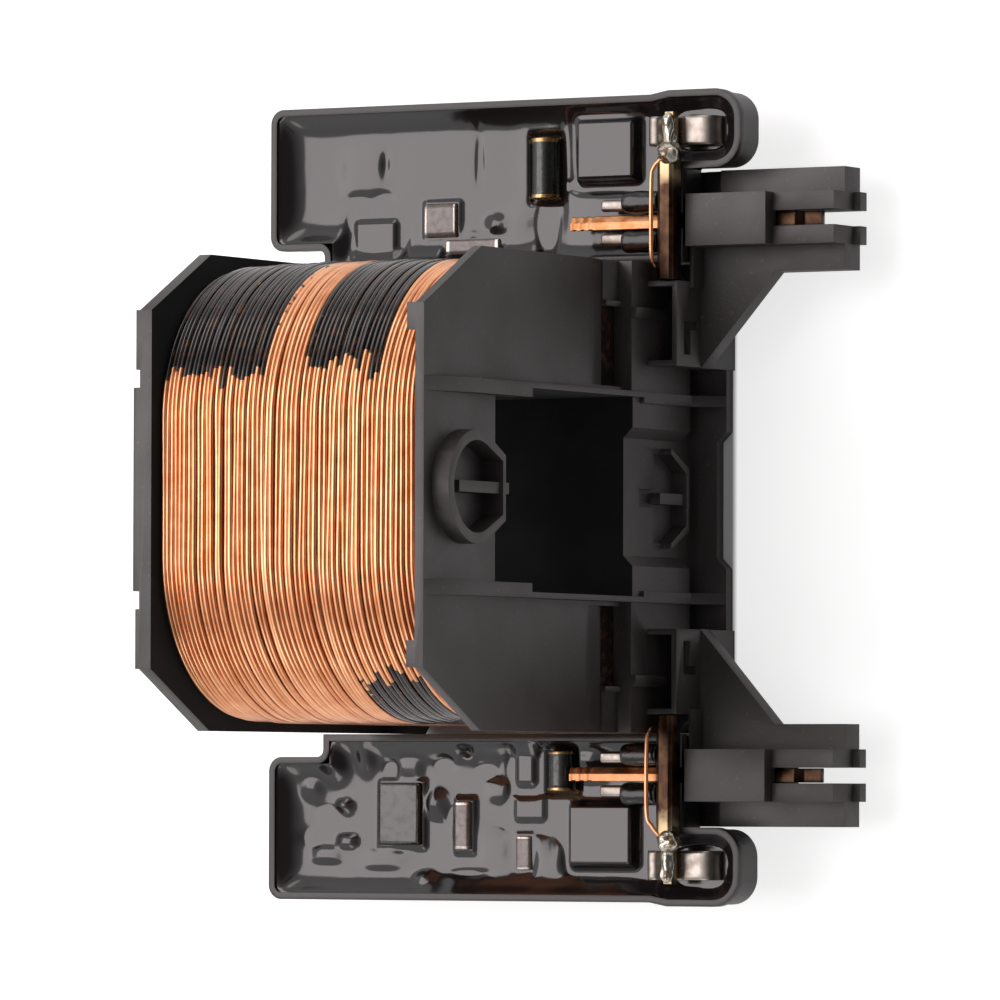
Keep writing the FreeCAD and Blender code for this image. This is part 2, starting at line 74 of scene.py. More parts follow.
def linear(code):
    """Linear RGBA of an sRGB hex colour such as "d08050"."""
    channels = np.array([int(code[i:i + 2], 16) for i in (0, 2, 4)]) / 255
    curve = np.where(channels <= 0.04045, channels / 12.92, ((channels + 0.055) / 1.055) ** 2.4)
    return (*curve.tolist(), 1.0)


def plug(tree, node, settings):
    """Set a node's inputs and properties, and link each input whose value is a socket."""
    for key, value in settings.items():
        if isinstance(value, bpy.types.NodeSocket):
            tree.links.new(value, node.inputs[key])
        elif isinstance(key, int) or key in node.inputs:
            node.inputs[key].default_value = value
        else:
            setattr(node, key, value)


def add_node(tree, kind, settings, output=0):
    """Add a shader node with these settings and links, and give one of its outputs."""
    node = tree.nodes.new("ShaderNode" + kind)
    plug(tree, node, settings)
    return node.outputs[output]


def start_material(name):
    """An empty material. Gives it, its tree, its shader and the place on the piece."""
    material = bpy.data.materials.new(name)
    material.use_nodes = True
    tree = material.node_tree
    return material, tree, tree.nodes["Principled BSDF"], add_node(tree, "TexCoord", {}, "Object")


# Materials, each named for what the real one is. The scale of a noise is one over the size of
# its lumps. Input 0 of a Mix node is the factor, 6 and 7 are the colours and output 2 the
# result. A MapRange node that isn't told otherwise gives 0 to 1.

def spark_eroded_polyamide():
    """Glass-filled polyamide out of a spark-eroded mould: dull, with a fine even grain. On the
    walls of the core tube, which the attribute inside marks, it is rougher still and its colour
    goes nearly black as painted shade."""
    material, tree, shader, place = start_material("glass_filled_polyamide")
    grain = add_node(tree, "TexNoise", {
        "Vector": place, "Scale": 1 / (0.22 * MM), "Detail": 2.0}, "Fac")
    cloud = add_node(tree, "TexNoise", {
        "Vector": place, "Scale": 1 / (5 * MM), "Detail": 3.0}, "Fac")
    dust = add_node(tree, "TexNoise", {
        "Vector": place, "Scale": 1 / (0.35 * MM), "Detail": 1.0}, "Fac")
    specks = add_node(tree, "MapRange", {"Value": dust, "From Min": 0.70, "From Max": 0.76})
    faint = add_node(tree, "MapRange", {"Value": specks, "To Max": 0.3})
    base = add_node(tree, "Mix", {
        "data_type": "RGBA", 0: cloud, 6: bpy.context.scene.coil_colours.plastic[:],
        7: linear("312b2a")}, 2)
    dusty = add_node(tree, "Mix", {
        "data_type": "RGBA", 0: faint, 6: base, 7: linear("5f5a58")}, 2)
    inside = add_node(tree, "Attribute", {"attribute_name": "inside"}, "Fac")
    dull = add_node(tree, "MapRange", {"Value": inside, "To Max": 0.5})
    patchy = add_node(tree, "MapRange", {
        "Value": cloud, "From Min": 0.3, "From Max": 0.7, "To Min": 0.42, "To Max": 0.54})
    # Where inside is 1 the base colour turns to 0a0a0b: painted shade in the core tube's hollow.
    plug(tree, shader, {
        "IOR": 1.53,
        "Base Color": add_node(tree, "Mix", {
            "data_type": "RGBA", 0: inside, 6: dusty, 7: linear("0a0a0b")}, 2),
        "Roughness": add_node(tree, "Math", {"operation": "ADD", 0: patchy, 1: dull}),
        "Normal": add_node(tree, "Bump", {
            "Height": grain, "Distance": 0.02 * MM, "Strength": 0.6})})
    return material


def moulded_polyester():
    """Polyester tray out of a smoother mould: satin, nearly black and slightly uneven."""
    material, tree, shader, place = start_material("moulded_polyester")
    cloud = add_node(tree, "TexNoise", {
        "Vector": place, "Scale": 1 / (3 * MM), "Detail": 3.0}, "Fac")
    waves = add_node(tree, "TexNoise", {
        "Vector": place, "Scale": 1 / (0.5 * MM), "Detail": 3.0}, "Fac")
    plug(tree, shader, {
        "IOR": 1.5, "Roughness": 0.42,
        "Base Color": add_node(tree, "Mix", {
            "data_type": "RGBA", 0: cloud, 6: linear("171413"), 7: linear("221d1b")}, 2),
        "Normal": add_node(tree, "Bump", {
            "Height": waves, "Distance": 0.02 * MM, "Strength": 0.5})})
    return material


def enamelled_copper(name="enamelled_copper"):
    """Copper wire under clear enamel: orange metal with a soft gloss that varies by turn.
    The attribute varnish lays black insulating varnish over it, with ragged ends, and on the under
    layer's front end the same black is painted shade. The attribute flank lets copper through in
    places along the sides of a turn."""
    colours = bpy.context.scene.coil_colours
    material, tree, shader, place = start_material(name)
    turn = add_node(tree, "Attribute", {"attribute_name": "turn"}, "Fac")
    varnish = add_node(tree, "Attribute", {"attribute_name": "varnish"}, "Fac")
    flank = add_node(tree, "Attribute", {"attribute_name": "flank"}, "Fac")
    cloud = add_node(tree, "TexNoise", {
        "Vector": place, "Scale": 1 / (1.6 * MM), "Detail": 3.0}, "Fac")
    fine = add_node(tree, "TexNoise", {
        "Vector": place, "Scale": 1 / (0.6 * MM), "Detail": 3.0}, "Fac")
    streaks = add_node(tree, "TexNoise", {
        "Vector": place, "Scale": 1 / (0.9 * MM), "Detail": 4.0}, "Fac")
    wear = add_node(tree, "TexNoise", {
        "Vector": place, "Scale": 1 / (1.3 * MM), "Detail": 3.0}, "Fac")
    tone = add_node(tree, "Math", {"operation": "MULTIPLY_ADD", 0: turn, 1: 0.5, 2: cloud})
    bright = add_node(tree, "MapRange", {"Value": tone, "From Min": 0.35})
    copper = add_node(tree, "Mix", {
        "data_type": "RGBA", 0: bright, 6: linear("cf8150"), 7: colours.copper[:]}, 2)
    brown = add_node(tree, "MapRange", {"Value": streaks, "From Min": 0.5, "From Max": 0.72})
    black = add_node(tree, "Mix", {
        "data_type": "RGBA", 0: brown, 6: colours.varnish[:], 7: linear("4a2c1d")}, 2)
    ragged = add_node(tree, "Math", {"operation": "ADD", 0: varnish, 1: fine})
    cover = add_node(tree, "MapRange", {"Value": ragged, "From Min": 0.95, "From Max": 1.05})
    rubbed = add_node(tree, "Math", {"operation": "MULTIPLY_ADD", 0: wear, 1: 0.9, 2: flank})
    unrubbed = add_node(tree, "MapRange", {
        "Value": rubbed, "From Min": 1.3, "From Max": 1.5, "To Min": 1.0, "To Max": 0.0})
    hidden = add_node(tree, "Math", {"operation": "MULTIPLY", 0: cover, 1: unrubbed})
    plug(tree, shader, {
        "Coat Weight": 0.5, "Coat Roughness": 0.12,
        "Base Color": add_node(tree, "Mix", {
            "data_type": "RGBA", 0: hidden, 6: copper, 7: black}, 2),
        "Metallic": add_node(tree, "MapRange", {"Value": hidden, "To Min": 1.0, "To Max": 0.1}),
        "Roughness": add_node(tree, "MapRange", {"Value": cover, "To Min": 0.36, "To Max": 0.18})})
    return material


def casting_resin():
    """Black epoxy cast over the boards: deep, wet-looking, with a skin of faint ripples."""
    material, tree, shader, place = start_material("black_epoxy")
    ripples = add_node(tree, "TexNoise", {
        "Vector": place, "Scale": 1 / (1.4 * MM), "Detail": 1.0}, "Fac")
    plug(tree, shader, {
        "Base Color": bpy.context.scene.coil_colours.resin[:], "Roughness": 0.14, "IOR": 1.56,
        "Normal": add_node(tree, "Bump", {
            "Height": ripples, "Distance": 0.04 * MM, "Strength": 0.4})})
    return material


def tinned_bronze():
    """Rolled bronze strip under dull tin: grey metal with a patchy soft mirror."""
    material, tree, shader, place = start_material("tinned_bronze")
    cloud = add_node(tree, "TexNoise", {
        "Vector": place, "Scale": 1 / (0.8 * MM), "Detail": 3.0}, "Fac")
    grain = add_node(tree, "TexNoise", {
        "Vector": place, "Scale": 1 / (0.3 * MM), "Detail": 3.0}, "Fac")
    worn = add_node(tree, "MapRange", {"Value": cloud, "From Min": 0.35, "From Max": 0.7})
    plug(tree, shader, {
        "Metallic": 1.0,
        "Base Color": add_node(tree, "Mix", {
            "data_type": "RGBA", 0: worn, 6: linear("8f8983"), 7: linear("7a7067")}, 2),
        "Roughness": add_node(tree, "MapRange", {
            "Value": cloud, "From Min": 0.3, "From Max": 0.7, "To Min": 0.26, "To Max": 0.4}),
        "Normal": add_node(tree, "Bump", {
            "Height": grain, "Distance": 0.01 * MM, "Strength": 0.5})})
    return material


def soft_solder():
    """Tin solder, frozen in lumps, with patches of amber flux."""
    material, tree, shader, place = start_material("soft_solder")
    cloud = add_node(tree, "TexNoise", {
        "Vector": place, "Scale": 1 / (0.7 * MM), "Detail": 4.0}, "Fac")
    lumps = add_node(tree, "TexNoise", {
        "Vector": place, "Scale": 1 / (0.35 * MM), "Detail": 3.0}, "Fac")
    flux = add_node(tree, "MapRange", {"Value": cloud, "From Min": 0.54, "From Max": 0.62})
    plug(tree, shader, {
        "Roughness": 0.2,
        "Base Color": add_node(tree, "Mix", {
            "data_type": "RGBA", 0: flux, 6: linear("b9b5aa"), 7: linear("6a4c24")}, 2),
        "Metallic": add_node(tree, "MapRange", {"Value": flux, "To Min": 1.0, "To Max": 0.25}),
        "Normal": add_node(tree, "Bump", {
            "Height": lumps, "Distance": 0.05 * MM, "Strength": 0.8})})
    return material


def stamped_copper(name, dark, pale, tinned_from):
    """Stamped copper alloy: brown where it has tarnished, and pale with solder beyond a
    distance from the coil's middle plane."""
    material, tree, shader, place = start_material(name)
    cloud = add_node(tree, "TexNoise", {
        "Vector": place, "Scale": 1 / (1.2 * MM), "Detail": 4.0}, "Fac")
    grain = add_node(tree, "TexNoise", {
        "Vector": place, "Scale": 1 / (0.25 * MM), "Detail": 3.0}, "Fac")
    clean = add_node(tree, "MapRange", {"Value": cloud, "From Min": 0.4, "From Max": 0.65})
    tarnish = add_node(tree, "Mix", {
        "data_type": "RGBA", 0: clean, 6: linear(dark), 7: linear(pale)}, 2)
    across = add_node(tree, "SeparateXYZ", {0: place}, "Y")
    away = add_node(tree, "Math", {"operation": "ABSOLUTE", 0: across})
    ragged = add_node(tree, "Math", {"operation": "MULTIPLY_ADD", 0: cloud, 1: 3 * MM, 2: away})
    wetted = add_node(tree, "MapRange", {
        "Value": ragged, "From Min": tinned_from, "From Max": tinned_from + 2 * MM})
    plug(tree, shader, {
        "Metallic": 1.0,
        "Base Color": add_node(tree, "Mix", {
            "data_type": "RGBA", 0: wetted, 6: tarnish, 7: linear("b59f7c")}, 2),
        "Roughness": add_node(tree, "MapRange", {
            "Value": cloud, "From Min": 0.3, "From Max": 0.7, "To Min": 0.26, "To Max": 0.44}),
        "Normal": add_node(tree, "Bump", {
            "Height": grain, "Distance": 0.012 * MM, "Strength": 0.6})})
    return material


def dipped_vinyl():
    """Black vinyl dip over the prongs: wet gloss, slightly lumpy."""
    material, tree, shader, place = start_material("dipped_vinyl")
    lumps = add_node(tree, "TexNoise", {
        "Vector": place, "Scale": 1 / (0.7 * MM), "Detail": 3.0}, "Fac")
    plug(tree, shader, {
        "Base Color": linear("080707"), "Roughness": 0.2, "IOR": 1.45,
        "Normal": add_node(tree, "Bump", {
            "Height": lumps, "Distance": 0.06 * MM, "Strength": 0.7})})
    return material


def glass_laminate():
    """Glass cloth laminate with green mask, hidden under the resin."""
    material, tree, shader, place = start_material("glass_laminate")
    weave = add_node(tree, "TexNoise", {
        "Vector": place, "Scale": 1 / (0.4 * MM), "Detail": 3.0}, "Fac")
    plug(tree, shader, {
        "Roughness": 0.4,
        "Base Color": add_node(tree, "Mix", {
            "data_type": "RGBA", 0: weave, 6: linear("1c3322"), 7: linear("27452e")}, 2)})
    return material


def moulded_epoxy():
    """Component body of moulded epoxy under a thin film of resin."""
    material, tree, shader, place = start_material("moulded_epoxy")
    cloud = add_node(tree, "TexNoise", {
        "Vector": place, "Scale": 1 / (0.8 * MM), "Detail": 3.0}, "Fac")
    grain = add_node(tree, "TexNoise", {
        "Vector": place, "Scale": 1 / (0.4 * MM), "Detail": 3.0}, "Fac")
    plug(tree, shader, {
        "IOR": 1.55,
        "Base Color": add_node(tree, "Mix", {
            "data_type": "RGBA", 0: cloud, 6: linear("1b1817"), 7: linear("2b2524")}, 2),
        "Roughness": add_node(tree, "MapRange", {
            "Value": cloud, "From Min": 0.35, "From Max": 0.65, "To Min": 0.12, "To Max": 0.34}),
        "Normal": add_node(tree, "Bump", {
            "Height": grain, "Distance": 0.03 * MM, "Strength": 0.6})})
    return material


def capped_component(name, body, cap, cap_is_metal):
    """A small part whose two ends, marked by the attribute end, have another finish."""
    material, tree, shader, place = start_material(name)
    end = add_node(tree, "Attribute", {"attribute_name": "end"}, "Fac")
    cloud = add_node(tree, "TexNoise", {
        "Vector": place, "Scale": 1 / (0.5 * MM), "Detail": 3.0}, "Fac")
    grain = add_node(tree, "TexNoise", {
        "Vector": place, "Scale": 1 / (0.3 * MM), "Detail": 3.0}, "Fac")
    cover = add_node(tree, "MapRange", {"Value": end, "From Min": 0.45, "From Max": 0.55})
    stained = add_node(tree, "MapRange", {
        "Value": cloud, "From Min": 0.4, "From Max": 0.7, "To Max": 0.5})
    shade = add_node(tree, "Mix", {
        "data_type": "RGBA", 0: stained, 6: linear(body), 7: linear("1c1816")}, 2)
    plug(tree, shader, {
        "IOR": 1.55,
        "Base Color": add_node(tree, "Mix", {
            "data_type": "RGBA", 0: cover, 6: shade, 7: linear(cap)}, 2),
        "Metallic": add_node(tree, "MapRange", {"Value": cover, "To Max": float(cap_is_metal)}),
        "Roughness": add_node(tree, "MapRange", {
            "Value": cloud, "From Min": 0.35, "From Max": 0.65, "To Min": 0.16, "To Max": 0.34}),
        "Normal": add_node(tree, "Bump", {
            "Height": grain, "Distance": 0.02 * MM, "Strength": 0.5})})
    return material


# Meshes

def grid_quads(rows, columns, close_rows=False, close_columns=False):
    """Corner numbers of the quads of a grid whose points are listed row by row."""
    row, column = np.meshgrid(np.arange(rows if close_rows else rows - 1),
                              np.arange(columns if close_columns else columns - 1), indexing="ij")
    next_row, next_column = (row + 1) % rows, (column + 1) % columns
    corners = [row * columns + column, row * columns + next_column,
               next_row * columns + next_column, next_row * columns + column]
    return np.stack(corners, axis=-1).reshape(-1, 4)


def merged(points, faces, grain=0.001 * MM):
    """Join points that fall on the same spot. A quad that loses one corner becomes a
    triangle, and one that loses more is dropped."""
    _, first, number = np.unique(np.round(points / grain).astype(int), axis=0,
                                 return_index=True, return_inverse=True)
    faces = number.reshape(-1)[faces]
    lost = faces == np.roll(faces, -1, axis=1)
    quads = faces[lost.sum(axis=1) == 0]
    few = lost.sum(axis=1) == 1
    triangles = faces[few][~lost[few]].reshape(-1, 3)
    return points[first], quads.tolist() + triangles.tolist()


def add_piece(name, points, faces, material, replaced=(), attributes=None, smooth=True):
    """A mesh piece that rides on the coil, with its own values stored for each point."""
    mesh = bpy.data.meshes.new(name)
    mesh.from_pydata(points.tolist(), [], faces)
    mesh.polygons.foreach_set("use_smooth", np.full(len(mesh.polygons), smooth))
    for key, values in (attributes or {}).items():
        mesh.attributes.new(key, "FLOAT", "POINT").data.foreach_set("value", values)
    mesh.materials.append(material)
    mesh.update()
    piece = bpy.data.objects.new(name, mesh)
    bpy.context.scene.collection.objects.link(piece)
    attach(piece, "root")
    if replaced:
        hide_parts(*replaced)
    return piece


def unit(vectors):
    return vectors / np.linalg.norm(vectors, axis=-1, keepdims=True)


def smooth_path(points, steps):
    """Curve through given points: each span is a cubic that leaves and arrives along the line
    between the neighbours of its ends."""
    points = np.array(points, float)
    ends = np.concatenate([[2 * points[0] - points[1]], points, [2 * points[-1] - points[-2]]])
    t = np.linspace(0, 1, steps, endpoint=False)[None, :, None]
    a, b, c, d = (ends[i:len(points) - 1 + i, None, :] for i in range(4))
    spans = 0.5 * (2 * b + (c - a) * t + (2 * a - 5 * b + 4 * c - d) * t ** 2
                   + (3 * b - a - 3 * c + d) * t ** 3)
    return np.concatenate([spans.reshape(-1, 3), points[-1:]])


def rounded_profile(width, height, power=4.0, sides=20):
    """Closed outline |x / a|^power + |y / b|^power = 1, a circle at power 2 and nearly a
    rectangle at power 8."""
    turn = np.linspace(0, 2 * math.pi, sides, endpoint=False)
    x, y = np.cos(turn), np.sin(turn)
    size = (np.abs(x) ** power + np.abs(y) ** power) ** (-1 / power)
    return np.stack([x * size * width / 2, y * size * height / 2], axis=-1)


def sweep(path, profile, level, scale=None):
    """Carry a closed profile along a path. Its first axis lies square to the path and to
    level. Gives the points and the faces, with both ends closed."""
    level = np.broadcast_to(np.asarray(level, float), path.shape)
    along = unit(np.gradient(path, axis=0))
    side = unit(np.cross(level, along))
    up = np.cross(along, side)
    scale = np.ones(len(path)) if scale is None else scale
    spread = profile[None, :, :] * scale[:, None, None]
    points = (path[:, None, :] + side[:, None, :] * spread[..., :1]
              + up[:, None, :] * spread[..., 1:])
    rows, columns = points.shape[:2]
    faces = grid_quads(rows, columns, close_columns=True).tolist()
    faces.append(list(range(columns))[::-1])
    faces.append(list(range((rows - 1) * columns, rows * columns)))
    return points.reshape(-1, 3), [f[::-1] for f in faces]


def softened_copy(node, material, width=0.12 * MM, angle=35.0, marks=None,
                  join_level=True):
    """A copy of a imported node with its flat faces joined, the level ones only if asked, and
    its edges rounded. Marks gives an attribute's name and a function of the faces' middles
    that works it out."""
    work = bmesh.new()
    work.from_mesh(nodes[node].data)
    bmesh.ops.remove_doubles(work, verts=work.verts, dist=0.001 * MM)
    joined = [edge for edge in work.edges
              if join_level or all(abs(face.normal.z) < 0.9 for face in edge.link_faces)]
    bmesh.ops.dissolve_limit(work, angle_limit=math.radians(1), verts=[], edges=joined)
    for face in work.faces:
        face.smooth = True
    mesh = bpy.data.meshes.new("soft_" + node)
    work.to_mesh(mesh)
    work.free()
    if marks:
        middles = np.array([polygon.center[:] for polygon in mesh.polygons])
        mesh.attributes.new(marks[0], "FLOAT", "FACE").data.foreach_set("value", marks[1](middles))
    mesh.materials.clear()
    mesh.materials.append(material)
    piece = bpy.data.objects.new("soft_" + node, mesh)
    bpy.context.scene.collection.objects.link(piece)
    rounding = piece.modifiers.new("rounded edges", "BEVEL")
    rounding.width = width
    rounding.segments = 2
    rounding.limit_method = "ANGLE"
    rounding.angle_limit = math.radians(angle)
    rounding.harden_normals = True
    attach(piece, "root")
    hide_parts(node)
    return piece


# Sizes and colours that a user would change

class CoilWinding(bpy.types.PropertyGroup):
    """Sizes of the winding."""
    wire: FloatProperty(name="Wire", description="Diameter of the enamelled wire",
                        default=0.43 * MM, min=0.1 * MM, unit="LENGTH", precision=5)
    corner: FloatProperty(name="Corner", description="Radius of the winding's corners",
                          default=13.0 * MM, unit="LENGTH")
    crown: FloatProperty(name="Crown", description="How far the turns sink beside the flanges",
                         default=0.4 * MM, unit="LENGTH")
    wander: FloatProperty(name="Wander", description="How far a turn strays sideways",
                          default=0.07 * MM, unit="LENGTH")
    seed: IntProperty(name="Seed", description="Which random lay the turns take", default=4)


class CoilResin(bpy.types.PropertyGroup):
    """Sizes of the resin in the trays."""
    level: FloatProperty(name="Level", description="Height of the resin above the floor",
                         default=7.25 * MM, unit="LENGTH")
    climb: FloatProperty(name="Climb", description="How far the resin climbs the tray's walls",
                         default=1.25 * MM, unit="LENGTH")
    reach: FloatProperty(name="Reach", description="How far from a wall the climb begins",
                         default=1.0 * MM, unit="LENGTH")


class CoilColours(bpy.types.PropertyGroup):
    """Colours of the main materials."""
    plastic: FloatVectorProperty(name="Plastic", description="Dark side of the former's plastic",
                                 subtype="COLOR", size=4, min=0, max=1, default=linear("262221"))
    copper: FloatVectorProperty(name="Copper", description="Bright side of the wire",
                                subtype="COLOR", size=4, min=0, max=1, default=linear("f2b284"))
    varnish: FloatVectorProperty(name="Varnish", description="Dark side of the varnish",
                                 subtype="COLOR", size=4, min=0, max=1, default=linear("16100e"))
    resin: FloatVectorProperty(name="Resin", description="Resin in the trays",
                               subtype="COLOR", size=4, min=0, max=1, default=linear("1c1819"))


class CoilStage(bpy.types.PropertyGroup):
    """Camera and light."""
    lens: FloatProperty(name="Lens", description="Focal length on a 36 mm sensor, in millimetres",
                        default=324.0)
    distance: FloatProperty(name="Distance", description="From the camera to the coil",
                            default=714.3 * MM, unit="LENGTH")
    turn: FloatProperty(name="Turn", description="How far the camera stands towards the arms",
                        default=math.radians(30.0), subtype="ANGLE")
    rise: FloatProperty(name="Rise", description="How far it stands below the upper tray",
                        default=math.radians(1.9), subtype="ANGLE")
    roll: FloatProperty(name="Roll", description="How far it leans", default=math.radians(0.15),
                        subtype="ANGLE")


# Operators, one for each piece or group of like pieces

class CoilFormerOperator(bpy.types.Operator):
    """Soften the moulded former's edges and give it its grain"""
    bl_idname = "coil.former"
    bl_label = "Former"

    def execute(self, context):
        softened_copy("coil_former", spark_eroded_polyamide(), 0.13 * MM,
                      marks=("inside", self.inside))
        return {"FINISHED"}

    def inside(self, middles):
        """1 on the walls of the core tube's hollow, which get painted shade, 0 elsewhere."""
        x, y, z = middles.T / MM
        return ((x < 8.9) & (x > -17) & (abs(y) < 8.1) & (z > 12.2) & (z < 32.9)).astype(float)


# How far the varnish wears off each of the six edges of a turn
FLANK = [0, 0.4, 0.8, 0, 0.7, 0.4]
# Where the varnish lies, in millimetres: the middle and half width of the bare band, where the
# upper patches end along the coil and down its side, and the edges of the lower patch
BAND_MIDDLE, BAND_HALF = -4.3, 2.2
UPPER_RIGHT, UPPER_FOOT = 4.0, 9.0
LOWER_LEFT, LOWER_RIGHT, LOWER_HEAD = 0.2, 6.2, -14.2
# The core tube under the winding: half width, low and high z and corner radius
CORE_OUTLINE = (8.85 * MM, 11.45 * MM, 33.65 * MM, 0.3 * MM)


def winding_outline(half_width, low, high, corner):
    """Round the coil from the middle of its lower edge: four arcs with straight runs
    between. Gives distance walked, y, z and the outward direction at each point."""
    middle = (low + high) / 2
    half_height = (high - low) / 2
    steps = 25
    quarter = np.concatenate([np.linspace(a, a + math.pi / 2, steps)
                              for a in (-math.pi / 2, 0, math.pi / 2, math.pi)])
    centre_y = np.repeat([1, 1, -1, -1], steps) * (half_width - corner)
    centre_z = middle + np.repeat([-1, 1, 1, -1], steps) * (half_height - corner)
    y = np.concatenate([[0], centre_y + corner * np.cos(quarter), [0]])
    z = np.concatenate([[low], centre_z + corner * np.sin(quarter), [low]])
    out_y = np.concatenate([[0], np.cos(quarter), [0]])
    out_z = np.concatenate([[-1], np.sin(quarter), [-1]])
    walked = np.concatenate([[0], np.cumsum(np.hypot(np.diff(y), np.diff(z)))])
    return walked / walked[-1], y, z, out_y, out_z


class CoilWindingOperator(bpy.types.Operator):
    """Wind the wire turn by turn, with black varnish where the leads are held, and painted shade on
    the under layer where the lead slots look in
    """
    bl_idname = "coil.winding"
    bl_label = "Winding"

    def execute(self, context):
        sizes = context.scene.coil_winding
        rng = np.random.default_rng(sizes.seed)
        low, high = node_box("copper_winding")
        turns = int((high[0] - low[0]) / sizes.wire)
        steps = 220
        # Each turn walks once round the outline while it moves along by one wire. It strays by
        # a sum of sine waves, whose phases drift from turn to turn, and sinks beside the
        # flanges by crown * place^4, where place runs from -1 to 1 along the coil.
        walked, y, z, out_y, out_z = winding_outline(high[1], low[2], high[2], sizes.corner)
        t = np.arange(turns * steps) / steps
        turn = np.floor(t).astype(int)
        part = t - turn
        place = 2 * (t / turns) - 1
        calm = np.sin(math.pi * part) ** 0.5
        drift = np.cumsum(rng.normal(0, 0.3, (3, turns)), axis=1)[:, turn]
        own = rng.uniform(0, 2 * math.pi, (4, turns))[:, turn]
        lean = sum(size * np.sin(2 * math.pi * waves * part + phase) for size, waves, phase in (
            (1.2, 1.3, drift[0]), (0.8, 2.6, drift[1] + 2), (0.5, 4.3, drift[2]),
            (0.55, 1.7, own[0]), (0.5, 3.9, own[1]), (0.3, 7.1, own[2])))
        lift = 0.5 * rng.random(turns)[turn] + 0.4 * np.sin(2 * math.pi * 3.1 * part + own[3])
        inward = (sizes.wire / 2 + sizes.crown * place ** 4
                  + 0.15 * MM * (1 - np.clip(lift, 0, 1)))
        x = low[0] + sizes.wire / 2 + (high[0] - low[0] - sizes.wire) * t / turns
        x = x + sizes.wander * lean * calm * (1 - place ** 4)
        x = np.clip(x, low[0] + sizes.wire / 2, high[0] - sizes.wire / 2)
        normal_y, normal_z = np.interp(part, walked, out_y), np.interp(part, walked, out_z)
        path = np.stack([x, np.interp(part, walked, y) - normal_y * inward,
                         np.interp(part, walked, z) - normal_z * inward], axis=-1)
        sides = len(FLANK)
        profile = rounded_profile(sizes.wire, sizes.wire, 2.0, sides)
        points, faces = sweep(path, profile, (1, 0, 0))
        tooth = rng.normal(size=turns)[turn]
        varnish = self.varnish(path / MM, tooth)
        shade = rng.random(turns)[turn]
        attributes = {"varnish": np.repeat(varnish, sides), "turn": np.repeat(shade, sides),
                      "flank": np.tile(FLANK, len(path))}
        copper = enamelled_copper()
        add_piece("wound_wire", points, faces, copper,
                  ["copper_winding"], attributes)
        self.under_layer(low, high, sizes, copper)
        return {"FINISHED"}

    def varnish(self, path, tooth):
        """1 where varnish lies: over the upper side, on two bands with a bare one between,
        and over a short stretch of the lower side near the front flange. The path is in
        millimetres, and tooth shifts the end of the varnish on each turn."""
        x, y, _ = path.T
        bare = (np.clip(BAND_HALF - np.abs(x - BAND_MIDDLE), 0, 1)
                + np.clip((x - UPPER_RIGHT) / 0.5, 0, 1))
        upper = np.clip((y - UPPER_FOOT - 0.6 * tooth) / 0.8, 0, 1) - bare
        lower = (np.clip((LOWER_HEAD - 0.4 * tooth - y) / 0.8, 0, 1)
                 * np.clip((x - LOWER_LEFT) / 0.5, 0, 1)
                 * np.clip((LOWER_RIGHT - x) / 0.5, 0, 1))
        return np.clip(np.maximum(upper, lower), 0, 1)

    def under_layer(self, low, high, sizes, copper):
        """The turns below the outer layer: a closed ring round the core tube, through the outline
        of the winding at both ends and that of the tube at both ends. The end that the lead slots
        look onto gets the varnish's black as painted shade in the slots."""
        inset = sizes.wire * 1.4 + sizes.crown
        _, y, z, _, _ = winding_outline(high[1] - inset, low[2] + inset, high[2] - inset,
                                        sizes.corner - inset)
        _, core_y, core_z, _, _ = winding_outline(*CORE_OUTLINE)
        count = len(y) - 1
        rings = [(low[0], y, z, 0), (high[0] - 0.6 * MM, y, z, 0), (high[0], y, z, 1),
                 (high[0], core_y, core_z, 1), (low[0], core_y, core_z, 0)]
        points = np.concatenate([np.stack([np.full(count, x), a[:-1], b[:-1]], axis=-1)
                                 for x, a, b, _ in rings])
        # The rings at the front end, seen through the lead slots, are marked 1 for the varnish's
        # black: painted shade.
        dark = np.repeat([float(ring[3]) for ring in rings], count)
        faces = grid_quads(5, count, close_rows=True, close_columns=True)[:, ::-1]
        add_piece("under_layer", points, faces.tolist(), copper,
                  ["copper_winding"], {"varnish": dark, "turn": np.zeros(len(points)),
                                       "flank": np.zeros(len(points))}, smooth=False)


class CoilTrayOperator(bpy.types.Operator):
    """Soften the two trays and put the laminate on the boards"""
    bl_idname = "coil.trays"
    bl_label = "Trays"

    def execute(self, context):
        polyester = moulded_polyester()
        laminate = glass_laminate()
        for side in SIDES:
            softened_copy(side + "_tray", polyester, 0.12 * MM, join_level=False)
            board = nodes[side + "_circuit_board"]
            board.data.materials.clear()
            board.data.materials.append(laminate)
        return {"FINISHED"}


# The tray's hollow. A step in its inner edge is given as its length and its depth. Beside the
# middle of the coil the outer edge stands back.
END_STEP = (5.2 * MM, 1.86 * MM)
ARM_STEP = (5.25 * MM, 7.5 * MM)
END_ROUNDING = 0.65 * MM
ARM_ROUNDING = 1.85 * MM
SETBACK, SETBACK_START, SETBACK_RUN = 0.3 * MM, 6.05 * MM, 1.6 * MM

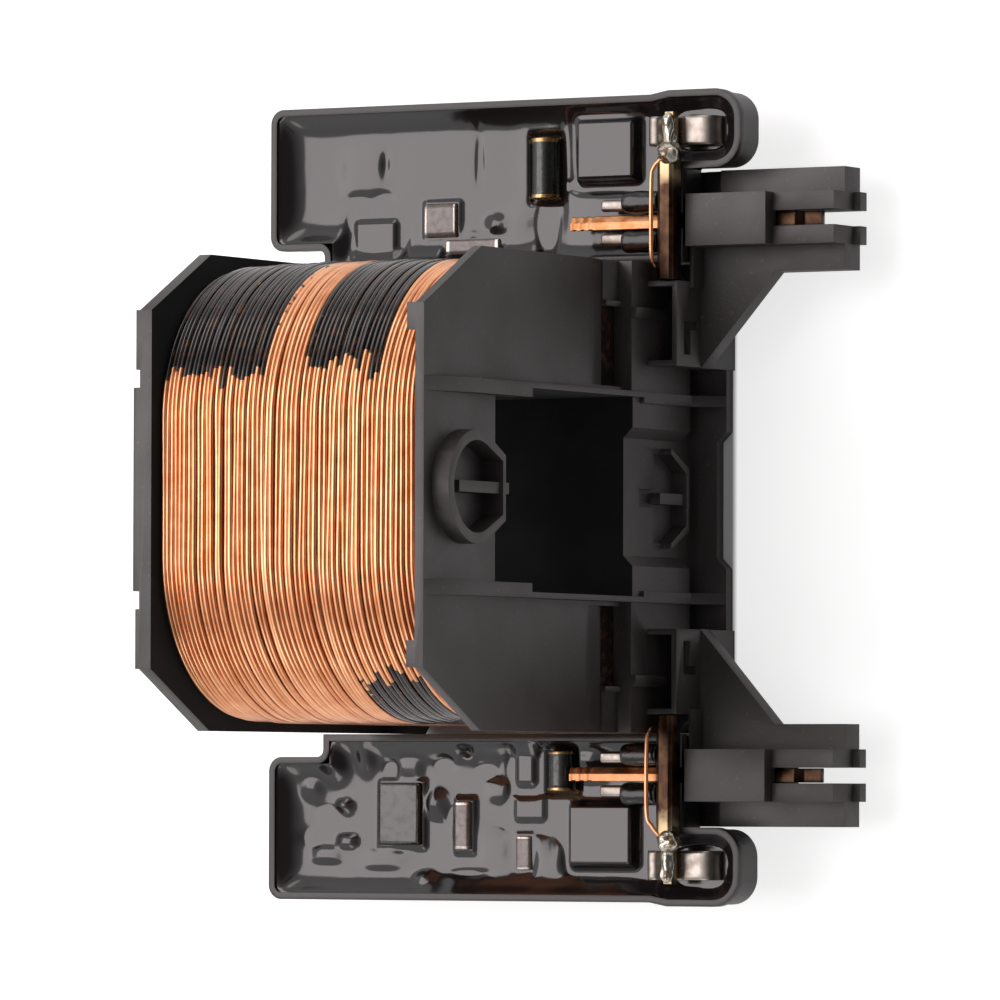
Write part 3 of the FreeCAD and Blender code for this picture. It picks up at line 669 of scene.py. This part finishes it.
# Swells and hollows of the resin: centre x and distance y from the coil's middle plane, half
# sizes, height, and 2 for a round one or 3 for one with a flatter top, all in millimetres
UPPER_SWELLS = [
    (-18.2, 27.2, 2.1, 2.2, 0.38, 3), (-11.4, 27.4, 4.2, 2.5, 0.22, 3),
    (-16.1, 27.8, 0.35, 1.0, -0.18, 2), (-7.2, 27.6, 0.35, 2.4, -0.16, 2),
    (-18.6, 24.9, 1.1, 0.5, -0.22, 2), (-16.4, 25.1, 0.9, 0.5, -0.2, 2),
    (-5.6, 22.6, 0.95, 0.8, 0.4, 2), (-7.8, 21.5, 1.0, 0.7, 0.2, 2),
    (-0.75, 22.0, 0.75, 2.0, -1.0, 3), (0.55, 26.8, 0.55, 3.4, -0.35, 2),
    (4.4, 28.6, 4.0, 3.3, 0.5, 3), (4.2, 22.6, 3.9, 2.3, 0.5, 3),
    (-3.4, 22.6, 1.3, 1.6, 0.28, 2), (13.6, 29.6, 2.4, 2.2, -0.9, 3),
    (8.6, 29.3, 1.2, 2.4, -0.5, 2), (4.0, 25.4, 4.2, 0.45, -0.32, 2),
    (-1.0, 27.0, 2.2, 3.6, 0.3, 3), (-22.6, 24.5, 1.6, 2.6, -0.08, 2),
]
LOWER_SWELLS = [
    (-22.8, 23.4, 1.0, 0.9, 0.42, 2), (-19.8, 24.8, 0.75, 0.6, 0.5, 2),
    (-15.4, 21.7, 0.5, 0.55, -0.6, 2), (-13.6, 22.0, 1.2, 1.0, 0.35, 3),
    (-10.4, 21.3, 0.75, 0.5, -0.6, 2), (-8.1, 20.4, 0.5, 0.35, -0.45, 2),
    (-6.4, 21.9, 0.8, 0.55, -0.5, 2), (-0.9, 21.9, 0.5, 1.9, -1.0, 3),
    (0.7, 26.1, 0.6, 1.7, -0.55, 2), (-3.7, 25.9, 1.4, 0.4, -0.45, 2),
    (-0.3, 28.7, 1.5, 1.7, 0.35, 3), (5.1, 30.0, 2.3, 0.4, -0.7, 2),
    (-12.1, 30.6, 0.8, 0.45, 0.4, 2), (-8.2, 30.3, 1.6, 0.3, -0.4, 2),
    (-21.5, 28.8, 1.4, 0.7, 0.35, 3), (-19.5, 27.7, 0.9, 0.55, 0.4, 3),
    (-17.6, 21.0, 0.8, 1.2, 0.5, 2), (-20.6, 21.3, 0.9, 1.3, 0.35, 2),
    (-11.2, 24.6, 1.0, 1.1, 0.4, 2), (-9.4, 25.6, 0.6, 0.6, -0.45, 2),
    (-23.0, 27.4, 0.9, 0.7, -0.3, 2), (-4.6, 23.6, 1.6, 0.9, 0.25, 3),
    (-16.0, 29.2, 2.2, 0.9, 0.35, 3), (-5.8, 28.4, 1.4, 1.5, 0.22, 3),
    (-12.0, 27.7, 1.6, 1.4, -0.25, 3), (13.6, 29.6, 2.4, 2.2, -0.9, 3),
    (2.6, 21.6, 2.0, 1.2, 0.4, 3), (8.8, 29.4, 1.0, 2.2, -0.4, 2),
    (-21.3, 25.9, 1.2, 0.9, -0.25, 3), (-14.4, 27.9, 0.5, 0.5, -0.4, 2),
]
SWELLS = {"upper": UPPER_SWELLS, "lower": LOWER_SWELLS}

# Random ripples: seed, how many, their half size and greatest height in millimetres
RIPPLES = {"upper": (11, 30, 2.4, 0.09), "lower": (23, 80, 1.3, 0.16)}

# Thickness in millimetres of the resin over each covered part, and the share of its own height
# to which it climbs each bare one
RESIN_FILM = {"upper_power_diode": 0.06, "upper_control_chip": 0.08, "lower_chip_resistor": 0.06,
              "lower_power_diode": 0.06, "lower_chip_capacitor": 0.06}
BARE_PARTS = {"upper_chip_capacitor": 0.35, "upper_filter_capacitor": 0.4,
              "lower_film_capacitor": 0.35, "lower_tall_resistor": 0.35, "lower_fuse": 0.3,
              "upper_glass_diode": -0.25, "lower_glass_diode": -0.25}


def distance_to_box(x, y, x0, x1, y0, y1):
    """How far each point lies outside a rectangle."""
    return np.hypot(np.maximum(np.maximum(x0 - x, x - x1), 0),
                    np.maximum(np.maximum(y0 - y, y - y1), 0))


class CoilResinOperator(bpy.types.Operator):
    """Pour the resin, which climbs the walls and swells over the parts"""
    bl_idname = "coil.resin"
    bl_label = "Resin"

    def execute(self, context):
        epoxy = casting_resin()
        for side, sign in SIDES.items():
            self.pour(side, sign, context.scene.coil_resin, epoxy)
        return {"FINISHED"}

    def outline(self, side, x):
        """Nearest and furthest y of the tray's hollow at each x, and its two steps."""
        low, high = node_box(side + "_potting_resin")
        left, right = low[0], high[0]
        inner, outer = sorted((abs(low[1]), abs(high[1])))
        end_step = (left + END_STEP[0], inner + END_STEP[1])
        arm_step = (right - ARM_STEP[0], inner + ARM_STEP[1])
        near = np.where(x < end_step[0], end_step[1], np.where(x > arm_step[0], arm_step[1], inner))
        far = outer - SETBACK * np.clip((right - SETBACK_START - x) / SETBACK_RUN, 0, 1)
        for end, radius in ((left, END_ROUNDING), (right, ARM_ROUNDING)):
            depth = np.clip(radius - np.abs(x - end), 0, radius)
            round_off = radius - np.sqrt(np.maximum(radius ** 2 - depth ** 2, 0))
            near, far = near + round_off, far - round_off
        return near, far, end_step, arm_step

    def pour(self, side, sign, sizes, epoxy):
        """One closed form: a grid over the tray's hollow at the resin's height, the same grid
        flat below it, and the rims of the two joined. Points of the grid that lie outside the
        hollow are moved onto its edge and merged there."""
        low, high = node_box(side + "_potting_resin")
        inner, outer = sorted((abs(low[1]), abs(high[1])))
        _, _, end_step, arm_step = self.outline(side, low[:1])
        hair = 0.004 * MM
        x = np.sort(np.concatenate([np.linspace(low[0], high[0], 330)] + [
            [corner - hair, corner + hair] for corner in (end_step[0], arm_step[0])]))
        near, far, _, _ = self.outline(side, x)
        xs, ys = np.meshgrid(x, np.linspace(inner, outer, 120), indexing="ij")
        ys = np.clip(ys, near[:, None], far[:, None])
        z = self.surface(side, xs, ys, sizes, low[0], high[0], inner, far[:, None],
                         end_step, arm_step)
        below_rim = 0.12 * MM
        z = np.minimum(z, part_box(side + "_tray")[1][2] - below_rim)
        count = xs.size
        floor = np.full_like(z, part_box(side + "_circuit_board")[1][2] + 0.02 * MM)
        top = np.stack([xs, sign * ys, z], -1).reshape(-1, 3)
        bottom = np.stack([xs, sign * ys, floor], -1).reshape(-1, 3)
        rows, columns = xs.shape
        quads = grid_quads(rows, columns)
        index = np.arange(count).reshape(rows, columns)
        rim = np.concatenate([index[:, 0], index[-1, 1:], index[-2::-1, -1], index[0, -2:0:-1]])
        after = np.roll(rim, -1)
        skirt = np.stack([rim, after, after + count, rim + count], -1)
        faces = np.concatenate([quads[:, ::-1], quads + count, skirt])
        if sign < 0:
            faces = faces[:, ::-1]
        points, faces = merged(np.concatenate([top, bottom]), faces)
        add_piece(side + "_cast_resin", points, faces, epoxy,
                  [side + "_potting_resin"])

    def surface(self, side, x, y, sizes, left, right, inner, outer, end_step, arm_step):
        """Height of the resin: its level, a climb that fades with distance from the walls and is
        blended where walls meet, 1 - product of (1 - exp(-(gap / reach)^1.3)), a crisp swell over
        each covered part, a climb up each bare one that is a sink where its share is negative, and
        the rounded or flat-topped swells of the lists, exp(-(|u|^n + |v|^n)) for offsets u and v in
        half sizes and n of 2 or 3."""
        away = 100 * MM
        gaps = np.stack(np.broadcast_arrays(
            x - left, right - x, outer - y, y - inner,
            distance_to_box(x, y, -away, end_step[0], 0, end_step[1]),
            distance_to_box(x, y, arm_step[0], away, 0, arm_step[1])))
        nearness = np.exp(-(np.maximum(gaps, 0) / sizes.reach) ** 1.3)
        z = sizes.level + sizes.climb * (1 - np.prod(1 - nearness, axis=0))
        seed, amount, spread, most = RIPPLES[side]
        rng = np.random.default_rng(seed)
        for _ in range(amount):
            cx, cy = rng.uniform(left, right), rng.uniform(inner, 31.5 * MM)
            sx, sy = rng.uniform(0.6, 1.3, 2) * spread * MM
            tall = rng.uniform(-most, most) * MM
            z = z + tall * np.exp(-((x - cx) / sx) ** 2 - ((y - cy) / sy) ** 2)
        for cx, cy, sx, sy, tall, power in SWELLS[side]:
            z = z + tall * MM * np.exp(-np.abs((x / MM - cx) / sx) ** power
                                       - np.abs((y / MM - cy) / sy) ** power)
        for node, extra in {**RESIN_FILM, **BARE_PARTS}.items():
            if not node.startswith(side):
                continue
            a, b = node_box(node)
            y0, y1 = sorted((abs(a[1]), abs(b[1])))
            off = distance_to_box(x, y, a[0], b[0], y0, y1)
            if node in RESIN_FILM:
                top = b[2] + extra * MM - sizes.level
                hill = sizes.level + top * np.exp(-(off / (0.4 * MM)) ** 2)
                trough = 0.25 * MM * np.exp(-((off - 0.9 * MM) / (0.5 * MM)) ** 2)
                z = np.maximum(z - trough, hill)
            else:
                rise = (b[2] - sizes.level) * extra
                z = z + (sizes.level + rise - z) * np.exp(-(off / (0.35 * MM)) ** 2)
        return z


class CoilPartsOperator(bpy.types.Operator):
    """Finish the parts that stand out of the resin"""
    bl_idname = "coil.board_parts"
    bl_label = "Board parts"

    def execute(self, context):
        epoxy = moulded_epoxy()
        ceramic = capped_component("fired_ceramic", "6b5f5a", "b0a79e", 0.8)
        glass = capped_component("dark_glass", "10140f", "a8875c", 1.0)
        ends = {"upper_chip_capacitor": 0, "upper_filter_capacitor": 0, "lower_fuse": 1,
                "lower_tall_resistor": 1}
        for node in sorted(nodes):
            if node.endswith("glass_diode"):
                self.block(node, 1, glass, 2.0, 0.9)
            elif node in ends:
                self.block(node, ends[node], ceramic, 9.0, 1.0)
            elif node.endswith(("power_diode", "film_capacitor", "control_chip", "chip_resistor",
                                "chip_capacitor")):
                softened_copy(node, epoxy, 0.2 * MM)
        return {"FINISHED"}

    def block(self, node, axis, material, power, waist):
        """A closed bar along x (0) or y (1) inside the node's box. Its profile is
        |u|^power + |v|^power = 1, it draws in at the very ends, and between its two capped
        ends it is waist times as thick."""
        low, high = node_box(node)
        t = np.concatenate([np.linspace(-1, -0.94, 6), np.linspace(-0.74, 0.74, 25),
                            np.linspace(0.94, 1, 6)])
        middle = (low + high) / 2
        path = np.tile(middle, (len(t), 1))
        path[:, axis] = middle[axis] + t * (high[axis] - low[axis]) / 2
        draw_in = 1 - 0.3 * np.clip((np.abs(t) - 0.94) / 0.06, 0, 1) ** 2
        scale = draw_in * np.where(np.abs(t) < 0.76, waist, 1.0)
        other = 1 - axis
        sides = 32
        profile = rounded_profile(high[other] - low[other], high[2] - low[2], power, sides)
        points, faces = sweep(path, profile, (0, 0, 1), scale)
        end = np.repeat((np.abs(t) > 0.75).astype(float), sides)
        add_piece("dressed_" + node, points, faces, material, [node],
                  {"end": end})


class CoilContactsOperator(bpy.types.Operator):
    """Round the edges of the posts, notch the pins and tarnish the copper"""
    bl_idname = "coil.contacts"
    bl_label = "Posts and pins"

    def execute(self, context):
        posts = stamped_copper("tarnished_copper_alloy", "33241d", "55402f", 26.4 * MM)
        pins = stamped_copper("bright_copper_alloy", "94603c", "b98560", 60 * MM)
        for side in SIDES:
            softened_copy(side + "_contact", posts, 0.1 * MM)
            self.pin(side, pins)
        return {"FINISHED"}

    def pin(self, side, copper):
        """A bar whose upper face is level on one half and slopes away on the other, drawn in
        by three notches near its free end, depth * |sin(pi * run / pitch)|^3."""
        low, high = node_box(side + "_centre_pin")
        middle = (low + high) / 2
        notched, pitch, depth = 2.2, 0.75, 0.14
        x = np.concatenate([np.linspace(low[0], low[0] + 2.3 * MM, 40), [high[0]]])
        path = np.stack([x, np.full(len(x), middle[1]), np.full(len(x), middle[2])], -1)
        run = (x - low[0]) / MM
        notch = np.where(run < notched, depth * np.abs(np.sin(math.pi * run / pitch)) ** 3, 0)
        half_width, half_height = (high[1] - low[1]) / 2, (high[2] - low[2]) / 2
        profile = np.array([(-0.92, -1), (0.92, -1), (1, -0.8), (1, -0.1), (0.9, 0.15), (0.1, 0.95),
                            (0, 1), (-0.94, 1), (-1, 0.85), (-1, -0.8)]) * (half_width, half_height)
        points, faces = sweep(path, profile, (0, 0, 1), 1 - notch)
        add_piece(side + "_notched_pin", points, faces, copper,
                  [side + "_centre_pin"], smooth=False)


class CoilStripsOperator(bpy.types.Operator):
    """Bend the tinned strips that rise from the boards to the posts"""
    bl_idname = "coil.strips"
    bl_label = "Spring strips"

    def execute(self, context):
        tin = tinned_bronze()
        for side in SIDES:
            low, high = node_box(side + "_spring_strip")
            width = high[1] - low[1]
            thick = 0.3 * MM
            y = (low[1] + high[1]) / 2
            below_post_top = 1.6 * MM + 0.25 * MM
            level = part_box(side + "_contact")[1][2] - below_post_top
            right, left = high[0] - thick / 2, low[0] + thick / 2
            path = smooth_path([
                (right, y, low[2]), (right, y, level - 1.1 * MM),
                (right - 0.35 * MM, y, level - 0.3 * MM),
                (right - 1.1 * MM, y, level), (right - 2.5 * MM, y, level + 0.02 * MM),
                (right - 2.9 * MM, y, level - 0.12 * MM), (left + 1.5 * MM, y, level - 0.05 * MM),
                (left + 1.1 * MM, y, level + 0.3 * MM), (left + 0.75 * MM, y, level + 0.55 * MM),
                (left + 0.3 * MM, y, level + 0.5 * MM), (left, y, level + 0.05 * MM),
                (left + 0.05 * MM, y, level - 0.6 * MM)], 10)
            profile = rounded_profile(width, thick, 8.0, 28)
            across = np.stack(
                [-np.gradient(path[:, 2]), np.zeros(len(path)), np.gradient(path[:, 0])], -1)
            points, faces = sweep(path, profile, across)
            add_piece(side + "_tinned_strip", points, faces, tin,
                      [side + "_spring_strip"])
            for row in ("inner", "outer"):
                softened_copy(f"{side}_{row}_prong", tin, 0.24 * MM)
        return {"FINISHED"}


class CoilSolderOperator(bpy.types.Operator):
    """Freeze the solder over the ends of the posts"""
    bl_idname = "coil.solder"
    bl_label = "Solder"

    def execute(self, context):
        tin = soft_solder()
        for index, (side, sign) in enumerate(SIDES.items()):
            low, high = node_box(side + "_solder_joint")
            self.lump(side, sign, low, high, tin, index)
        return {"FINISHED"}

    def lump(self, side, sign, low, high, tin, seed):
        """A closed tube along the post and its tip. Its radius is a fat lump where the post
        ends and a narrow bead beyond, and swells and shrinks by a few waves."""
        rng = np.random.default_rng(seed + 5)
        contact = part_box(side + "_contact")
        outer = abs(contact[1][1]) if sign > 0 else abs(contact[0][1])
        inner_y, outer_y = sorted((abs(low[1]), abs(high[1])))
        outer_y = max(outer_y, outer - 0.05 * MM)
        s = np.linspace(0, 1, 80)[:, None]
        turn = np.linspace(0, 2 * math.pi, 44, endpoint=False)[None, :]
        y = inner_y + (outer_y - inner_y) * s
        reach = (y - inner_y) / MM
        lump_radius, lump_middle, bead_radius = 1.02, 0.95, 0.58
        lump = lump_radius * np.sqrt(np.clip(1 - ((reach - lump_middle) / lump_radius) ** 2, 0, 1))
        bead = bead_radius * np.sqrt(np.clip(1 - np.clip((0.9 - reach) / 0.9, 0, 1) ** 2, 0, 1)
                                     * np.clip((outer_y - y) / (0.5 * MM), 0, 1))
        waves = 0
        for _ in range(8):
            a, b, c, d = rng.uniform(0, 6, 4)
            waves = waves + 0.05 * np.sin(3 * (a + 1) * s + b) * np.cos(np.round(c) * turn + d)
        radius = np.maximum(np.maximum(lump, bead), 0.01) * (0.95 + waves) * MM
        centre_x = (low[0] + 1.1 * MM + 0.3 * MM * np.clip(2 - reach, 0, 1)
                    + 0.05 * MM * np.sin(4 * s))
        centre_z = high[2] - 1.05 * MM - 0.45 * MM * np.clip((reach - 1.2) / 0.8, 0, 1)
        points = np.stack([centre_x + radius * np.cos(turn), sign * y * np.ones_like(turn),
                           centre_z + 0.95 * radius * np.sin(turn)], axis=-1)
        rows, columns = points.shape[:2]
        faces = grid_quads(rows, columns, close_columns=True).tolist()
        faces += [list(range(columns))[::-1], list(range((rows - 1) * columns, rows * columns))]
        if sign < 0:
            faces = [f[::-1] for f in faces]
        add_piece(side + "_frozen_solder", points.reshape(-1, 3), faces, tin,
                  [side + "_solder_joint"])


class CoilBootsOperator(bpy.types.Operator):
    """Pull the black boots over the prongs"""
    bl_idname = "coil.boots"
    bl_label = "Boots"

    def execute(self, context):
        vinyl = dipped_vinyl()
        for side in SIDES:
            for row in ("inner", "outer"):
                low, high = node_box(f"{side}_{row}_boot")
                steps = 40
                t = np.linspace(0, 1, steps)
                x = low[0] + (high[0] - low[0]) * t
                middle = (low + high) / 2
                path = np.stack([x, np.full(steps, middle[1]), np.full(steps, middle[2])], -1)
                swell = (1 - 0.25 * np.exp(-t / 0.07) - 0.1 * np.exp(-(1 - t) / 0.08)
                         + 0.03 * np.sin(9 * t + low[1] / MM))
                profile = rounded_profile(high[1] - low[1], high[2] - low[2], 2.3, 28) / 1.03
                points, faces = sweep(path, profile, (0, 0, 1), swell)
                add_piece(f"{side}_{row}_vinyl_boot", points, faces, vinyl,
                          [f"{side}_{row}_boot"])
        return {"FINISHED"}


LEAD_WIRE = 0.35 * MM
# How far along the coil each lead runs, in millimetres
LEAD_X = {"upper": 10.62, "lower": 10.3}


class CoilLeadsOperator(bpy.types.Operator):
    """Lead the wire's ends out of the slots, over the housings and into the solder"""
    bl_idname = "coil.leads"
    bl_label = "Leads"

    def execute(self, context):
        copper = enamelled_copper("lead_copper")
        for side, sign in SIDES.items():
            x = LEAD_X[side]
            route = np.array([(x, 18.5, 5.95), (x, 18.5, 9.3), (x, 18.8, 10.2), (x, 19.8, 10.6),
                              (x, 25.2, 10.6), (10.75, 26.4, 10.5), (11.3, 27.1, 10.35)]) * MM
            route[:, 1] *= sign
            path = smooth_path(route, 10)
            points, faces = sweep(path, rounded_profile(LEAD_WIRE, LEAD_WIRE, 2.0, 10), (1, 0, 0))
            count = len(points)
            add_piece(side + "_lead", points, faces, copper,
                      [side + "_lead_wire"], {
                          "varnish": np.zeros(count), "turn": np.full(count, 0.5),
                          "flank": np.zeros(count)})
        return {"FINISHED"}


class CoilStageOperator(bpy.types.Operator):
    """Set the floor, the lamps and the camera"""
    bl_idname = "coil.stage"
    bl_label = "Stage"

    def execute(self, context):
        self.camera(context)
        self.floor()
        self.lamps(context)
        return {"FINISHED"}

    def camera(self, context):
        """Stand the camera above the coil, turned towards its arms. Its right, up and back
        axes make up the columns of its turn."""
        sizes = context.scene.coil_stage
        sine, cosine = math.sin(sizes.turn), math.cos(sizes.turn)
        forward = Vector((-sine * math.cos(sizes.rise), math.sin(sizes.rise),
                          -cosine * math.cos(sizes.rise)))
        level = Vector((cosine, 0, -sine))
        upright = level.cross(forward)
        right = math.cos(sizes.roll) * level + math.sin(sizes.roll) * upright
        up = math.cos(sizes.roll) * upright - math.sin(sizes.roll) * level
        aim = Vector((9.05 * MM, 0, 19.8 * MM))
        place = aim - sizes.distance * forward - 6.12 * MM * right - 0.49 * MM * up
        data = bpy.data.cameras.new("camera")
        data.lens = sizes.lens
        data.sensor_width = 36
        data.clip_start = 0.05
        camera = bpy.data.objects.new("camera", data)
        turn = Matrix((right, up, -forward)).transposed().to_4x4()
        camera.matrix_world = Matrix.Translation(place) @ turn
        context.scene.collection.objects.link(camera)
        context.scene.camera = camera

    def floor(self):
        """A pale table. What the camera and mirrors see of it is lifted to white, except
        right under the coil, where it stays in shade."""
        mesh = bpy.data.meshes.new("table")
        half = 1.2
        corners = [(-half, -half, 0), (half, -half, 0), (half, half, 0), (-half, half, 0)]
        mesh.from_pydata(corners, [], [(0, 1, 2, 3)])
        table = bpy.data.objects.new("table", mesh)
        bpy.context.scene.collection.objects.link(table)
        material, tree, shader, place = start_material("white_table")
        to_camera = add_node(tree, "LightPath", {}, "Is Camera Ray")
        to_mirror = add_node(tree, "LightPath", {}, "Is Glossy Ray")
        lifted = add_node(tree, "Math", {"operation": "MULTIPLY", 0: to_mirror, 1: 0.4})
        seen = add_node(tree, "Math", {
            "operation": "MULTIPLY_ADD", 0: to_camera, 1: 0.7, 2: lifted})
        beside = []
        for axis, middle, half in (("X", -2.5 * MM, 14.8 * MM), ("Y", 0, 19.5 * MM)):
            along = add_node(tree, "SeparateXYZ", {0: place}, axis)
            off = add_node(tree, "Math", {"operation": "SUBTRACT", 0: along, 1: middle})
            away = add_node(tree, "Math", {"operation": "ABSOLUTE", 0: off})
            beside.append(add_node(tree, "MapRange", {
                "Value": away, "From Min": half, "From Max": half + 0.5 * MM}))
        open_floor = add_node(tree, "Math", {
            "operation": "MAXIMUM", 0: beside[0], 1: beside[1]})
        plug(tree, shader, {
            "Base Color": linear("cccccc"), "Roughness": 0.9, "Emission Color": (1, 1, 1, 1),
            "Emission Strength": add_node(tree, "Math", {
                "operation": "MULTIPLY", 0: seen, 1: open_floor})})
        mesh.materials.append(material)

    def lamps(self, context):
        """Large soft panels: one over the back of the coil, whose mirror image fills the
        resin, and weak ones beside it. Mirrors see a room that is white behind the coil and
        dark beyond its arms."""
        panels = {
            "over_panel": ((-0.52, 0.14, 0.84), 0.70, 0.62, 4.2, "fff6f7"),
            "upper_panel": ((-0.15, 0.85, 0.45), 0.70, 0.30, 0.7, "fff8f2"),
            "lower_panel": ((-0.20, -0.90, 0.45), 0.70, 0.30, 0.7, "fff8f2"),
        }
        for name, (direction, distance, size, power, colour) in panels.items():
            data = bpy.data.lights.new(name, "AREA")
            data.size = size
            data.energy = power
            data.color = linear(colour)[:3]
            lamp = bpy.data.objects.new(name, data)
            away = Vector(direction).normalized()
            lamp.location = Vector((0, 0, 0.02)) + away * distance
            lamp.rotation_euler = away.to_track_quat("Z", "Y").to_euler()
            context.scene.collection.objects.link(lamp)
        world = bpy.data.worlds.new("studio")
        world.use_nodes = True
        tree = world.node_tree
        shade = tree.nodes["Background"]
        shade.inputs["Color"].default_value = (1, 1, 1, 1)
        direction = add_node(tree, "TexCoord", {}, "Generated")
        along = add_node(tree, "SeparateXYZ", {0: direction}, "X")
        room = add_node(tree, "MapRange", {
            "Value": along, "From Min": -0.2, "From Max": 0.6, "To Min": 1.0, "To Max": 0.1})
        to_mirror = add_node(tree, "LightPath", {}, "Is Glossy Ray")
        mirrored = add_node(tree, "Math", {"operation": "MULTIPLY", 0: room, 1: to_mirror})
        plain = add_node(tree, "Math", {
            "operation": "MULTIPLY_ADD", 0: to_mirror, 1: -0.35, 2: 0.35})
        plug(tree, shade, {
            "Strength": add_node(tree, "Math", {"operation": "ADD", 0: mirrored, 1: plain})})
        context.scene.world = world
        context.scene.view_settings.view_transform = "Standard"


class CoilPanel(bpy.types.Panel):
    """Lists the pieces and their sizes"""
    bl_idname = "VIEW3D_PT_coil"
    bl_label = "Contactor coil"
    bl_space_type = "VIEW_3D"
    bl_region_type = "UI"
    bl_category = "Coil"

    def draw(self, context):
        for operator in OPERATORS:
            self.layout.operator(operator.bl_idname)
        for name, group in GROUPS.items():
            box = self.layout.box()
            for size in group.__annotations__:
                box.prop(getattr(context.scene, name), size)


GROUPS = {"coil_winding": CoilWinding, "coil_resin": CoilResin, "coil_colours": CoilColours,
          "coil_stage": CoilStage}
OPERATORS = [
    CoilStageOperator, CoilFormerOperator, CoilWindingOperator, CoilTrayOperator, CoilResinOperator,
    CoilPartsOperator, CoilContactsOperator, CoilStripsOperator, CoilSolderOperator,
    CoilBootsOperator, CoilLeadsOperator,
]


def register():
    for cls in [*GROUPS.values(), *OPERATORS, CoilPanel]:
        bpy.utils.register_class(cls)
    for name, group in GROUPS.items():
        setattr(bpy.types.Scene, name, PointerProperty(type=group))


def unregister():
    for name in GROUPS:
        delattr(bpy.types.Scene, name)
    for cls in reversed([*GROUPS.values(), *OPERATORS, CoilPanel]):
        bpy.utils.unregister_class(cls)


def main():
    register()
    for operator in OPERATORS:
        family, name = operator.bl_idname.split(".")
        getattr(getattr(bpy.ops, family), name)()


if __name__ == "__main__":
    main()
